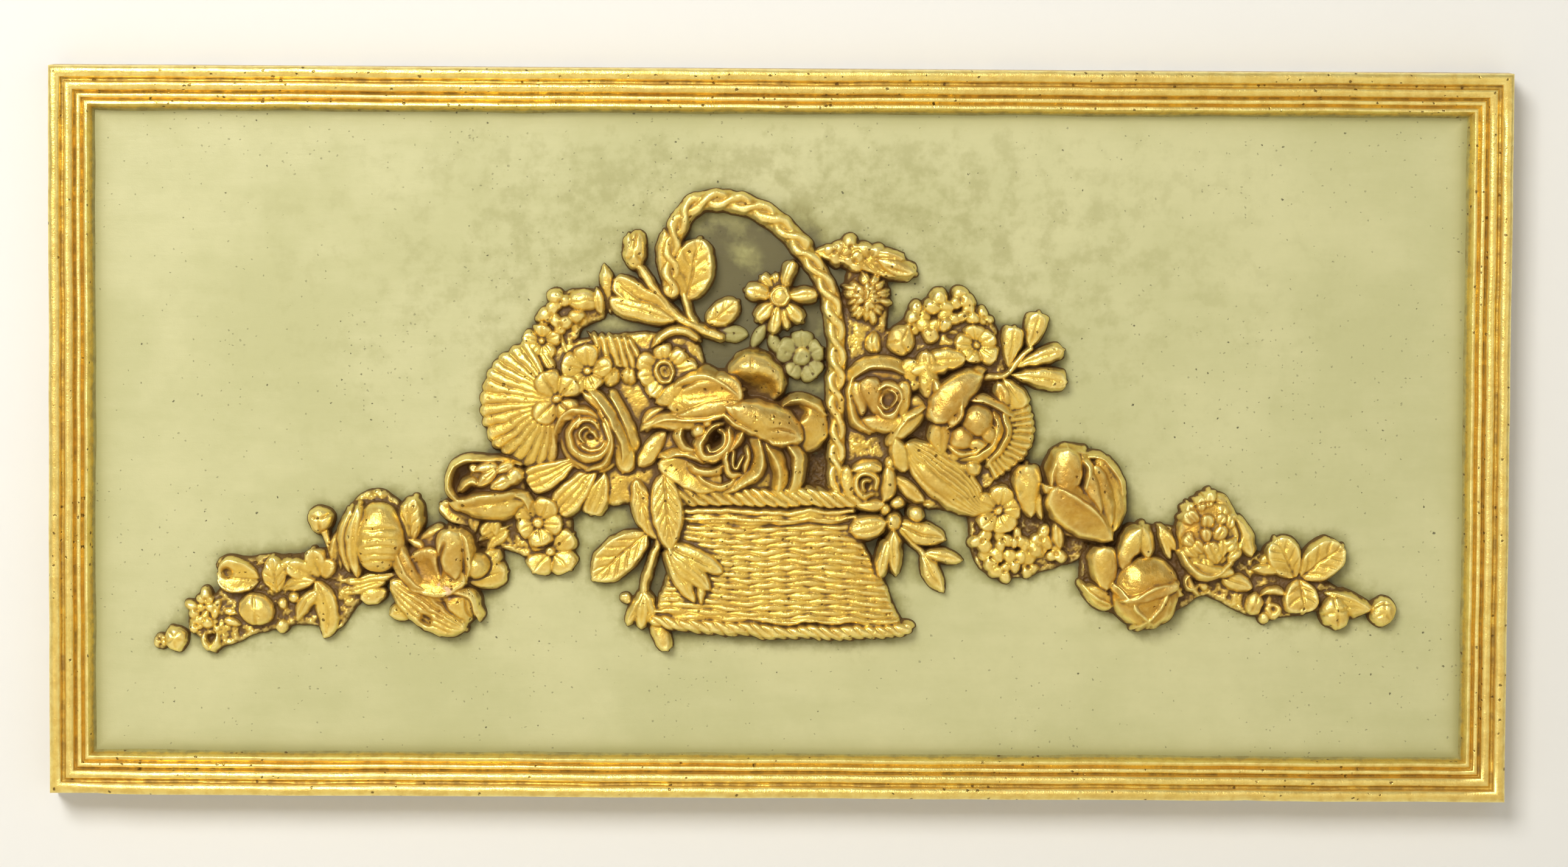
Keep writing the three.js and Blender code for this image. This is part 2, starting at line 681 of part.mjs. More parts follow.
// The bouquet to the right of the handle, with its rose, rosebud, fan and sprigs
function rightBouquet() {
  const hydrangea = [
    [-60, 8, 7.5],
    [0, 8.5, 8],
    [48, 9.5, 8.5],
    [100, 7.5, 9],
    [165, 8.5, 8.5],
    [235, 9, 9],
  ];
  const fanReach = (t) => 25 + 2 * Math.sin(Math.PI * t);
  return [
    web(
      [
        [27, 66],
        [27, -22],
        [70, -30],
        [84, -24],
        [96, -6],
        [90, 44],
        [78, 56],
        [44, 64],
      ],
      3.6,
    ),
    petal(17, 73.5, 38, 14, -6, 7, 7, { sweep: -20, steps: 4 }),
    blossom(36, 56.5, 12, 8, 20, 9.5, 2.8, { blunt: 0, notch: 0.65 }),
    bead(39, 38.5, 4.2, 7.5),
    dome(50.5, 39.5, 6, 7, 9),
    rose(41, 17, 12.5, 14, 12.5, 2, { turn: 20, lean: 120 }),
    petal(42, 5, 18, 9, 112, 11, 13, { steps: 2 }),
    petal(55, 20, 12, 9.5, 90, 8, 9),
    flower(69, 49.5, hydrangea, 3.6, 9.6, { notch: 0.6 }),
    blossom(81.5, 38, 8.8, 5, 34, 9, 1.8, { blunt: 0 }),
    ...roseOfRightBouquet(),
    fan(80, 1, -56, 50, fanReach, 6, 8, 5),
    stem([[90, 25], [104, 36.5]], 2.6, 6),
    petal(94, 28, 17.5, 8, 80, 5, 6.5),
    petal(103, 36, 16, 8, 74, 5, 6.5),
    petal(97, 29, 22, 6, 20, 5, 6),
    petal(95, 26, 24, 7.5, -6, 5, 6.5),
    petal(92, 25, 14.5, 7.5, -55, 7, 7.5),
    petal(61, 11, 18, 8.5, 217, 10, 12, { sweep: 25 }),
    flutes([[55, -5], [46, -17]], [[83, -27], [71, -34]], 3, [9, 7.8]),
  ];
}

function roseOfRightBouquet() {
  return [
    rose(78, 5, 16.5, 16.5, 11, 2, { lean: 200 }),
    dome(81, 5, 8, 8.5, 15.5),
    petal(66, 2, 28, 16, 56, 15, 16.5, { sweep: -35, cup: -2, steps: 4 }),
    bead(75, -10, 4.6, 10),
  ];
}

// The small rose and the sprig over the basket's right side
function rightSprig() {
  return [
    rose(36, -20.5, 8, 8.5, 11, 2, { sides: 6, groove: 1.4 }),
    bead(49, -28, 3.2, 8),
    bead(56.5, -32, 3.4, 8.5),
    leaf(44.5, -36, 15.5, 8.5, 196, 10, 10.5),
    leaf(47.5, -39, 18.5, 5.5, -87, 10, 7),
    leaf(50, -37, 20, 9.5, -19, 6, 5.5),
    stem([[50, -39], [61, -51]], 2.8, 5),
    leaf(60, -49, 16.5, 5.6, -9, 4.5, 4.5),
    leaf(59, -50, 17.5, 7, -57, 4.5, 5),
  ];
}

// The garland to the right, from the bouquet outwards
function rightGarland() {
  const lobes = [
    [-60, 7.5, 5],
    [0, 10.5, 5.5],
    [40, 10, 6],
    [115, 9, 6.5],
    [170, 9, 5],
    [230, 9.5, 5],
  ];
  return [
    web(
      [
        [80, -26],
        [82, -52],
        [118, -54],
        [130, -46],
        [110, -14],
        [98, -14],
      ],
      3.2,
    ),
    blossom(91, -31, 10, 5, 6, 8.5, 2.4, { blunt: 0 }),
    petal(105, -32, 21.5, 12.5, 97, 9, 12, { cup: -2 }),
    flower(96, -50, lobes, 3, 6.5, { notch: 0.6 }),
    ...rosebudOfRightGarland(),
    ...roseOfRightGarland(),
    ...peony(),
    leaf(183, -57, 15, 6.6, -20, 6, 6),
    dome(198, -69, 4, 5, 7),
    blossom(205, -71, 5, 4, 20, 5, 1.8, { blunt: 0 }),
    petal(214, -58, 17, 14, 116, 5, 6, { cup: 0.8 }),
    petal(217, -57, 20.5, 14.5, 36, 5, 6, { cup: 0.8 }),
    petal(216, -58, 14.5, 13.5, -83, 5, 7, { cup: 0.8 }),
    dome(231.5, -72.5, 6.4, 7, 8),
    leaf(227, -64, 20, 5.4, -19, 5, 6),
    dome(251, -72.5, 5.6, 6.2, 7.5),
  ];
}

function rosebudOfRightGarland() {
  return [
    dome(127, -24, 15, 18.5, 10.5, { turn: 20, sides: 8 }),
    petal(129, -7, 31, 4.4, -60, 11, 9, { sweep: -75, steps: 4 }),
    petal(127, -15, 27, 5.4, -56, 14, 11),
    petal(119, -26, 21.5, 12.5, 89, 14, 14, { cup: -2 }),
    petal(138, -42, 32.5, 17, 141, 12, 15, { cup: -2.2, steps: 4 }),
  ];
}

function roseOfRightGarland() {
  return [
    petal(136, -63, 18, 11.5, 96, 10.5, 12, { cup: -1.8 }),
    leaf(142, -55, 19.5, 9, 65, 11, 12),
    rose(152, -64, 14.5, 15.5, 15.5, 2, { lean: 200 }),
  ];
}

// A full flower with rows of small scale-like petals
function peony() {
  return [
    rose(178, -40, 12.5, 16.5, 12, 2, { turn: -12, sides: 10, groove: 1.2, fall: 0.6, ruffle: 0.6 }),
    petal(196, -49, 18, 8.5, 117, 8, 8, { cup: -1 }),
  ];
}

// The handle's route: up the right side, over the bouquet and down behind the leaves on the left
function handle() {
  const route = new THREE.CatmullRomCurve3(
    [
      [23.5, -22],
      [23.6, 10],
      [23.4, 40],
      [18.5, 63],
      [6, 82],
      [-8, 92.5],
      [-24, 97],
      [-37, 94],
      [-44, 82],
      [-45, 60],
    ].map(([x, z]) => new THREE.Vector3(x, z, 0)),
  );
  return [rope(route)];
}

// The body of the casting: the frame's profile run round the four sides, the ground and the back
function framedGround() {
  const profile = [[0, 0]];
  const crest = GROUND_THICKNESS + FRAME_RISE;
  const groove = crest - SMALL_BEAD_DROP - GROOVE_DEPTH;
  let inset = OUTER_DRAFT;
  const arc = (width, foot, top, far) => {
    profile.push([inset, foot]);
    profile.push([inset + width * 0.15, foot + (top - foot) * 0.7]);
    profile.push([inset + width / 2, top]);
    profile.push([inset + width * 0.85, far + (top - far) * 0.7]);
    profile.push([inset + width, far]);
    inset += width;
  };
  arc(TORUS_WIDTH, crest - 2.6, crest, crest - COVE_DEPTH);
  inset += COVE_WIDTH;
  arc(STEP_BEAD_WIDTH, crest - COVE_DEPTH, crest - STEP_BEAD_DROP, groove);
  inset += GROOVE_WIDTH;
  arc(SMALL_BEAD_WIDTH, groove, crest - SMALL_BEAD_DROP, groove);
  inset += GROOVE_WIDTH;
  arc(SIGHT_LIP_WIDTH, groove, crest - SIGHT_LIP_DROP, crest - SIGHT_LIP_DROP - 0.4);
  profile.push([inset + INNER_DRAFT, GROUND_THICKNESS]);
  const corners = [];
  const triangles = [];
  profile.forEach(([away, rise], ring) => {
    const x = PLAQUE_WIDTH / 2 - away;
    const z = PLAQUE_HEIGHT / 2 - away;
    corners.push([-x, -rise, -z], [x, -rise, -z], [x, -rise, z], [-x, -rise, z]);
    if (ring > 0) {
      for (let i = 0; i < 4; i += 1) {
        const next = (i + 1) % 4;
        const a = 4 * (ring - 1);
        const b = 4 * ring;
        triangles.push([a + i, a + next, b + next]);
        triangles.push([a + i, b + next, b + i]);
      }
    }
  });
  const ground = corners.length - 4;
  triangles.push([ground, ground + 1, ground + 2], [ground, ground + 2, ground + 3]);
  triangles.push([0, 2, 1], [0, 3, 2]);
  return solid(corners, triangles);
}

function castPlaque() {
  const relief = [
    ...handle(),
    ...basket(),
    ...leftGarland(),
    ...flutedBud(),
    ...lowerRose(),
    ...cupRose(),
    ...leftBouquet(),
    ...aboveTheBasket(),
    ...centralRose(),
    ...leftSprig(),
    ...rightBouquet(),
    ...rightSprig(),
    ...rightGarland(),
  ];
  const casting = relief.reduce((whole, piece) => whole.add(piece), framedGround());
  const mesh = casting.getMesh();
  const geometry = new THREE.BufferGeometry();
  geometry.setAttribute("position", new THREE.Float32BufferAttribute(Array.from(mesh.vertProperties), 3));
  geometry.setIndex(Array.from(mesh.triVerts));
  return geometry;
}

const gildedPlaster = new THREE.MeshStandardMaterial({ color: 0xcfae55, roughness: 0.42, metalness: 0.35 });
const plaque = new THREE.Mesh(castPlaque(), gildedPlaster);
plaque.name = "cast_plaque";

const group = new THREE.Group();
group.add(plaque);

export default group;
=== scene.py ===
"""A gilded and painted plaster wall plaque: moulded frame, green ground and a relief of a flower basket."""

import logging
import math
from dataclasses import dataclass
from enum import Enum
from typing import ClassVar

import bmesh
import bpy
import numpy as np
from mathutils import Euler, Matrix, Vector


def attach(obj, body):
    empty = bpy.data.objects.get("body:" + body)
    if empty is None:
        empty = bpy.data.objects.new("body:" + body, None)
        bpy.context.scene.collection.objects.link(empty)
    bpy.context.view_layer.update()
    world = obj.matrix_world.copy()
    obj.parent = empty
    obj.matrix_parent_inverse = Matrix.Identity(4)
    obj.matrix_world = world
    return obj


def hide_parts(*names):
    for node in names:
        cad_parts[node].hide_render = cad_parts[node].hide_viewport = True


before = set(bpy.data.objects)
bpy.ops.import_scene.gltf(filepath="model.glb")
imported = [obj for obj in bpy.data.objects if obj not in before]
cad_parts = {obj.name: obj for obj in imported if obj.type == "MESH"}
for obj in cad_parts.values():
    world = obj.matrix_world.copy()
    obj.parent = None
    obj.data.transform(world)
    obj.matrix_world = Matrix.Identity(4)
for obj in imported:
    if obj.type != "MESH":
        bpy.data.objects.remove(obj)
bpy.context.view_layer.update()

# Carving of the relief

MM = 0.001
DRAFT_ANGLE = 12
WALL_FALL = 1 / math.tan(math.radians(DRAFT_ANGLE))
UNDER_GROUND = -1.4
CUT_FLOOR = 0.2
EDGE_SOFTNESS = 0.3

Line = list[tuple[float, ...]]
Box = tuple[float, float, float, float]


def spline(points: Line, steps: int = 6, closed: bool = False) -> np.ndarray:
    """Runs a smooth curve through points.

    Args:
        points: corner points, each with as many values as are to be carried along.
        steps: how many pieces each stretch is cut into.
        closed: whether the curve comes back to its first point.

    Returns:
        The points of the curve, one row each.
    """
    knots = np.array(points, dtype=float)
    if closed:
        knots = np.vstack([knots[-1], knots, knots[:2]])
    else:
        knots = np.vstack([2 * knots[0] - knots[1], knots, 2 * knots[-1] - knots[-2]])
    share = (np.arange(steps) / steps)[:, None]
    rows = []
    for a, b, c, d in zip(knots, knots[1:], knots[2:], knots[3:]):
        curve = 2 * b + (c - a) * share + (2 * a - 5 * b + 4 * c - d) * share**2
        rows.append((curve + (3 * b - 3 * c + d - a) * share**3) / 2)
    if not closed:
        rows.append(knots[-2:-1])
    return np.vstack(rows)


def drafted(top: np.ndarray, gap: np.ndarray, softness: float = EDGE_SOFTNESS) -> np.ndarray:
    """Lets a form's top fall as a drafted wall outside its edge.

    Args:
        top: heights of the form's top.
        gap: how far inside the edge each point lies, below zero outside it.
        softness: how softly the top bends into the wall.

    Returns:
        The heights with the wall.
    """
    return top - WALL_FALL * (softness * np.logaddexp(0, -gap / softness))


def nearest(line: np.ndarray, x: np.ndarray, z: np.ndarray) -> tuple[np.ndarray, ...]:
    """Finds the nearest place on a line for every point of a window.

    Args:
        line: rows of x, z and one carried value.
        x: places of the window's points to the right.
        z: places of the window's points upwards.

    Returns:
        Distance, side (above zero on the line's left), carried value and share of the way along.
    """
    gap = np.full(x.shape, 1e9)
    side, value, share = np.zeros(x.shape), np.zeros(x.shape), np.zeros(x.shape)
    count = len(line) - 1
    for i in range(count):
        ax, az, av = line[i][:3]
        bx, bz, bv = line[i + 1][:3]
        dx, dz = bx - ax, bz - az
        t = np.clip(((x - ax) * dx + (z - az) * dz) / (dx * dx + dz * dz + 1e-9), 0, 1)
        away = (x - ax - t * dx) ** 2 + (z - az - t * dz) ** 2
        closer = away < gap
        gap = np.where(closer, away, gap)
        side = np.where(closer, dx * (z - az) - dz * (x - ax), side)
        value = np.where(closer, av + t * (bv - av), value)
        share = np.where(closer, (i + t) / count, share)
    return np.sqrt(gap), side, value, share


def box_round(points: np.ndarray, margin: float) -> Box:
    """Returns left, right, low and high limits of some points with a margin."""
    low, high = points[:, :2].min(0) - margin, points[:, :2].max(0) + margin
    return low[0], high[0], low[1], high[1]


def square(x: float, z: float, reach: float) -> Box:
    """Returns the limits of a square about a place."""
    return x - reach, x + reach, z - reach, z + reach


def outward(x: float, z: float, turn: float, wide: float, tall: float) -> tuple[float, float]:
    """Returns the place that lies from another in a direction in degrees, on an oval about it."""
    way = math.radians(turn)
    return x + wide * math.cos(way), z + tall * math.sin(way)


class Carving:
    """One carved form. Lengths are millimetres and heights are above the ground."""

    green: float = 0.0

    def box(self) -> Box:
        """Returns the window that the form reaches over."""
        raise NotImplementedError

    def heights(self, x: np.ndarray, z: np.ndarray) -> np.ndarray:
        """Returns the form's height at every point of its window."""
        raise NotImplementedError

    def stamp(self, relief: "ReliefField") -> None:
        """Raises the relief to this form where the form is higher."""
        rows, columns, x, z = relief.window(self.box())
        if x.size:
            relief.lift(rows, columns, self.heights(x, z), self.green)


class Outline(Enum):
    """How the width of a blade runs from its root to its tip."""

    PETAL = (0.6, 0.4, 1.9)
    LEAF = (0.62, 0.62, 2.36)
    SPOON = (0.9, 0.3, 2.15)


@dataclass(frozen=True)
class Blade(Carving):
    """A petal or leaf on an arched spine.

    turn is its direction in degrees, root and tip its heights, arch lifts its middle, cup its edges,
    sweep turns it along its length, vein cuts a midrib, veins are side veins, grooves run lengthwise
    and lip rolls its edge up.
    """

    x: float
    z: float
    length: float
    width: float
    turn: float
    root: float
    tip: float
    arch: float = 1.0
    cup: float = -0.8
    sweep: float = 0.0
    outline: Outline = Outline.PETAL
    vein: float = 0.0
    veins: int = 0
    grooves: int = 0
    groove_depth: float = 0.35
    lip: float = 0.0
    green: float = 0.0
    least_bend: ClassVar[float] = 0.02

    def spine(self) -> tuple[float, float, float]:
        """Returns the bend in radians, the length along the arc and the first heading."""
        bend = math.radians(self.sweep)
        if abs(bend) < self.least_bend:
            bend = self.least_bend
        arc = self.length * (bend / 2) / math.sin(bend / 2)
        return bend, arc, math.radians(self.turn) - bend / 2

    def box(self) -> Box:
        """Returns the window that the blade reaches over."""
        bend, arc, start = self.spine()
        turns = start + bend * np.linspace(0, 1, 9)
        radius = arc / bend
        x = self.x + radius * (np.sin(turns) - math.sin(start))
        z = self.z - radius * (np.cos(turns) - math.cos(start))
        return box_round(np.stack([x, z], 1), self.width / 2 + 4.5)

    def half_width(self, share: np.ndarray) -> np.ndarray:
        """Returns half of the blade's width at shares of its length."""
        first, last, full = self.outline.value
        inside = np.clip(share, 0, 1)
        return inside**first * (1 - inside) ** last * full * self.width / 2

    def heights(self, x: np.ndarray, z: np.ndarray) -> np.ndarray:
        """Returns the blade's height at every point of its window."""
        bend, arc, start = self.spine()
        radius = arc / bend
        sign = math.copysign(1, radius)
        from_x = x - (self.x - radius * math.sin(start))
        from_z = z - (self.z + radius * math.cos(start))
        heading = np.arctan2(sign * from_x, -sign * from_z)
        middle = start + bend / 2
        share = ((heading - middle + math.pi) % (2 * math.pi) - math.pi) / bend + 0.5
        across = (abs(radius) - np.hypot(from_x, from_z)) * sign
        half = self.half_width(share)
        slope = (self.half_width(share + 0.02) - self.half_width(share - 0.02)) / (0.04 * arc)
        gap = half - np.abs(across)
        gap = gap / np.sqrt(1 + np.where(gap > 0, slope, np.clip(slope, -0.8, 0.8)) ** 2)
        beyond = np.maximum(np.maximum(-share, share - 1), 0) * arc
        ends = np.minimum(share, 1 - share) * arc * 1.3
        gap = np.where(beyond > 0, -np.hypot(across, beyond), np.minimum(gap, ends + 0.1))
        t = np.clip(share, 0, 1)
        edge = np.clip(np.abs(across) / np.maximum(half, 0.05), 0, 1)
        top = self.root + (self.tip - self.root) * t + self.arch * 4 * t * (1 - t) + self.cup * edge**2
        if self.vein:
            top = top - self.vein * np.exp(-((across / 0.5) ** 2)) * (1 - t**4)
        if self.veins:
            phase = self.veins * (t - 0.3 * edge)
            line = np.exp(-(((phase % 1) - 0.5) ** 2) / 0.02)
            top = top - 0.6 * abs(self.vein or 0.5) * line * np.clip(edge * 6, 0, 1) * (1 - edge**6)
        if self.grooves:
            wave = 0.5 + 0.5 * np.cos(math.pi * self.grooves * (across / np.maximum(half, 0.3) + 1))
            top = top - self.groove_depth * wave**2 * np.clip(t * 4, 0, 1) * (1 - edge**8)
        if self.lip:
            top = top + self.lip * np.exp(-((np.maximum(gap, 0) / 0.9) ** 2)) * np.clip(t * 3, 0, 1)
        return drafted(top, gap)


@dataclass(frozen=True)
class Oval(Carving):
    """A form with an oval outline."""

    x: float
    z: float
    half_width: float
    half_height: float

    def own_axes(self, x: np.ndarray, z: np.ndarray, turn: float) -> tuple[np.ndarray, np.ndarray]:
        """Returns where points lie along the oval's axes, turned by some degrees, with 1 at its edge."""
        way = math.radians(turn)
        u = ((x - self.x) * math.cos(way) + (z - self.z) * math.sin(way)) / self.half_width
        v = ((z - self.z) * math.cos(way) - (x - self.x) * math.sin(way)) / self.half_height
        return u, v


@dataclass(frozen=True)
class Dome(Oval):
    """A bud, berry or the mass of a flower: an oval dome on a drafted wall.

    seams are grooves from its crown to its rim, and crown is the share of its height that bulges.
    """

    rise: float
    turn: float = 0.0
    crown: float = 0.5
    seams: int = 0
    seam_turn: float = 0.0
    seam_depth: float = 0.6
    green: float = 0.0

    def box(self) -> Box:
        """Returns the window that the dome reaches over."""
        return square(self.x, self.z, max(self.half_width, self.half_height) + 4.5)

    def heights(self, x: np.ndarray, z: np.ndarray) -> np.ndarray:
        """Returns the dome's height at every point of its window."""
        u, v = self.own_axes(x, z, self.turn)
        share = np.hypot(u, v)
        away = np.hypot(x - self.x, z - self.z)
        gap = (1 - share) * np.maximum(away, 0.01) / np.maximum(share, 0.01)
        gap = np.where(share < 0.05, min(self.half_width, self.half_height), gap)
        bulge = np.sqrt(np.clip(1 - share**2, 0, 1))
        top = self.rise * (1 - self.crown + self.crown * bulge)
        if self.seams:
            angle = np.arctan2(v, u) - math.radians(self.seam_turn)
            line = np.abs(np.sin(angle * self.seams / 2)) * share * min(self.half_width, self.half_height)
            line = line * 2 / self.seams
            top = top - self.seam_depth * np.exp(-((line / 0.55) ** 2)) * np.clip(share * 3, 0.3, 1)
        return drafted(top, gap)


@dataclass(frozen=True)
class Fold(Carving):
    """The turned edge of a petal: a crest along a curve of (x, z, rise).

    left and right are how steeply it falls on each side of its way, and reach is how far out those
    slopes go before the wall comes down.
    """

    line: Line
    left: float
    right: float
    reach: float
    blunt: float = 0.45
    taper: float = 1.2

    def box(self) -> Box:
        """Returns the window that the fold reaches over."""
        return box_round(np.array(self.line), self.reach + 4)

    def heights(self, x: np.ndarray, z: np.ndarray) -> np.ndarray:
        """Returns the fold's height at every point of its window."""
        gap, side, rise, share = nearest(spline(self.line), x, z)
        crest = rise - self.taper * np.abs(2 * share - 1) ** 4
        fall = np.where(side > 0, self.left, self.right)
        away = np.hypot(gap, self.blunt) - self.blunt
        return drafted(crest - fall * away, self.reach - gap)


@dataclass(frozen=True)
class Groove(Carving):
    """A groove cut along a curve of (x, z)."""

    line: Line
    width: float
    depth: float
    blunt_ends: bool = False

    def box(self) -> Box:
        """Returns the window that the groove reaches over."""
        return box_round(np.array(self.line), self.width * 2.5)

    def stamp(self, relief: "ReliefField") -> None:
        """Cuts the groove into the relief."""
        rows, columns, x, z = relief.window(self.box())
        line = spline([(px, pz, 0.0) for px, pz in self.line])
        gap, side, value, share = nearest(line, x, z)
        ends = 1 if self.blunt_ends else 1 - np.abs(2 * share - 1) ** 3
        relief.cut(rows, columns, self.depth * np.exp(-((gap / self.width) ** 2)) * ends)


@dataclass(frozen=True)
class Hollow(Oval):
    """An oval hollow scooped out of the relief."""

    depth: float
    turn: float = 0.0

    def box(self) -> Box:
        """Returns the window that the hollow reaches over."""
        return square(self.x, self.z, max(self.half_width, self.half_height) * 1.6)

    def stamp(self, relief: "ReliefField") -> None:
        """Cuts the hollow into the relief."""
        rows, columns, x, z = relief.window(self.box())
        u, v = self.own_axes(x, z, self.turn)
        relief.cut(rows, columns, self.depth * np.exp(-((u * u + v * v) ** 1.5)))


@dataclass(frozen=True)
class Web(Carving):
    """A low web of plaster that fills the gaps between leaves: a closed outline of (x, z)."""

    outline: Line
    rise: float
    crown: float = 0.6
    softness: float = 0.4

    def box(self) -> Box:
        """Returns the window that the web reaches over."""
        return box_round(np.array(self.outline), 3)

    def heights(self, x: np.ndarray, z: np.ndarray) -> np.ndarray:
        """Returns the web's height at every point of its window."""
        line = spline([(px, pz, 0.0) for px, pz in self.outline], 4, closed=True)
        line = np.vstack([line, line[:1]])
        gap, side, value, share = nearest(line, x, z)
        inside = np.zeros(x.shape, dtype=bool)
        for (ax, az, av), (bx, bz, bv) in zip(line, line[1:]):
            crosses = (az > z) != (bz > z)
            inside ^= crosses & (x < ax + (bx - ax) * (z - az) / (bz - az + 1e-12))
        gap = np.where(inside, gap, -gap)
        top = self.rise + self.crown * (1 - np.exp(-np.maximum(gap, 0) / 3))
        return drafted(top, gap, self.softness)


@dataclass(frozen=True)
class Pleats(Carving):
    """A row of flutes side by side, between a line of roots and a line of tips."""

    roots: tuple[tuple[float, float], tuple[float, float]]
    tips: tuple[tuple[float, float], tuple[float, float]]
    count: int
    rises: tuple[float, ...]
    depth: float
    scallop: float = 1.0
    crown: float = 0.8
    passes: ClassVar[int] = 6

    def box(self) -> Box:
        """Returns the window that the row reaches over."""
        return box_round(np.array([*self.roots, *self.tips]), self.scallop + 4.5)

    def heights(self, x: np.ndarray, z: np.ndarray) -> np.ndarray:
        """Returns the row's height at every point of its window."""
        r0, r1 = np.array(self.roots)
        t0, t1 = np.array(self.tips)
        across, along = np.full(x.shape, 0.5), np.full(x.shape, 0.5)
        for _ in range(self.passes):
            sx = (1 - along) * (r0[0] + (r1[0] - r0[0]) * across) + along * (t0[0] + (t1[0] - t0[0]) * across)
            sz = (1 - along) * (r0[1] + (r1[1] - r0[1]) * across) + along * (t0[1] + (t1[1] - t0[1]) * across)
            ux = (1 - along) * (r1[0] - r0[0]) + along * (t1[0] - t0[0])
            uz = (1 - along) * (r1[1] - r0[1]) + along * (t1[1] - t0[1])
            vx = (t0[0] - r0[0]) * (1 - across) + (t1[0] - r1[0]) * across
            vz = (t0[1] - r0[1]) * (1 - across) + (t1[1] - r1[1]) * across
            det = ux * vz - uz * vx
            det = np.where(np.abs(det) < 1e-3, 1e-3, det)
            across = np.clip(across + ((x - sx) * vz - (z - sz) * vx) / det, -1, 2)
            along = np.clip(along + (ux * (z - sz) - uz * (x - sx)) / det, -1, 2)
        middle = 4 * np.clip(across, 0, 1) * (1 - np.clip(across, 0, 1))
        crest = np.abs(np.sin(math.pi * self.count * across))
        wide = np.hypot(ux, uz)
        deep = np.hypot(vx, vz)
        gap = np.minimum(across * wide, (1 - across) * wide)
        gap = np.minimum(gap, along * deep)
        gap = np.minimum(gap, (1 - along) * deep + self.scallop * (crest - 0.5))
        steps = np.linspace(0, 1, len(self.rises))
        top = np.interp(np.clip(along, 0, 1), steps, self.rises) + self.crown * middle
        top = top - self.depth * (1 - crest**0.6)
        return drafted(top, gap)


@dataclass(frozen=True)
class Fan(Carving):
    """A pleated fan like a scallop shell, between two directions about a centre."""

    x: float
    z: float
    start: float
    end: float
    reaches: tuple[float, ...]
    ribs: int
    inner: float
    outer: float
    depth: float
    scallop: float
    belly: ClassVar[float] = 1.2

    def box(self) -> Box:
        """Returns the window that the fan reaches over."""
        return square(self.x, self.z, max(self.reaches) + 5)

    def heights(self, x: np.ndarray, z: np.ndarray) -> np.ndarray:
        """Returns the fan's height at every point of its window."""
        middle = (self.start + self.end) / 2
        angle = np.degrees(np.arctan2(z - self.z, x - self.x))
        angle = (angle - middle + 180) % 360 - 180 + middle
        away = np.hypot(x - self.x, z - self.z)
        share = (angle - self.start) / (self.end - self.start)
        inside = np.clip(share, 0, 1)
        crest = np.abs(np.sin(math.pi * self.ribs * inside))
        reach = np.interp(inside, np.linspace(0, 1, len(self.reaches)), self.reaches)
        gap = reach + self.scallop * (crest - 0.6) - away
        sides = np.minimum(share, 1 - share) * math.radians(self.end - self.start) * away
        gap = np.minimum(gap, sides)
        t = np.clip(away / reach, 0, 1)
        top = self.inner + (self.outer - self.inner) * t + 4 * t * (1 - t) * self.belly
        top = top - self.depth * (1 - crest**0.6) * np.clip(t * 1.6 - 0.2, 0, 1)
        return drafted(top, gap)


@dataclass(frozen=True)
class Twist(Carving):
    """Two cords twisted together along a curve of (x, z)."""

    line: Line
    width: float = 8.2
    pitch: float = 10.0
    rise: float = 9.2
    core: float = 7.4
    cord: float = 3.7

    def box(self) -> Box:
        """Returns the window that the cords reach over."""
        return box_round(np.array(self.line), self.width / 2 + 4)

    def heights(self, x: np.ndarray, z: np.ndarray) -> np.ndarray:
        """Returns the cords' height at every point of their window."""
        route = spline([(px, pz, 0.0) for px, pz in self.line], 8)
        steps = np.hypot(*np.diff(route[:, :2], axis=0).T)
        route[:, 2] = np.concatenate([[0], np.cumsum(steps)])
        gap, side, run, share = nearest(route, x, z)
        across = gap * np.sign(side)
        phase = math.pi * run / self.pitch
        swing = (self.width - self.cord) / 2
        radius = self.cord / 2
        top = np.full(x.shape, self.core) - 0.3 * across**2 / 3
        for offset in (0, math.pi):
            middle = swing * np.sin(phase + offset)
            over = 0.9 * np.cos(phase + offset)
            away = np.abs(across - middle) / radius * 0.9
            round_top = np.sqrt(np.clip(1 - away**2, 0, 1))
            strand = self.rise - 0.9 + over * 0.6 + radius * (round_top - 1) - 3.2 * np.maximum(away - 0.9, 0)
            top = np.maximum(top, strand)
        ends = np.minimum(run, route[-1, 2] - run)
        wall = np.minimum(self.width / 2 - gap - 0.5 * np.cos(phase) ** 2, ends + 1.5)
        return drafted(top, wall)


@dataclass(frozen=True)
class Cord(Carving):
    """A straight or sagging cord laid along the basket, with strands that slant down to the right."""

    line: Line
    tall: float
    pitch: float
    lean: float
    depth: float = 1.3
    softness: ClassVar[float] = 0.28

    def box(self) -> Box:
        """Returns the window that the cord reaches over."""
        return box_round(np.array(self.line), self.tall / 2 + 4)

    def heights(self, x: np.ndarray, z: np.ndarray) -> np.ndarray:
        """Returns the cord's height at every point of its window."""
        gap, side, rise, share = nearest(spline(self.line), x, z)
        across = gap * np.sign(side) / (self.tall / 2)
        slant = x + (z - self.line[0][1]) / math.tan(math.radians(self.lean))
        crest = np.abs(np.sin(math.pi * slant / self.pitch))
        round_top = np.sqrt(np.clip(1 - across**2, 0, 1))
        top = rise - 1.6 * (1 - round_top) - self.depth * (1 - crest**0.55)
        wall = self.tall / 2 - gap + 0.5 * (crest - 0.6)
        return drafted(top, wall, self.softness)


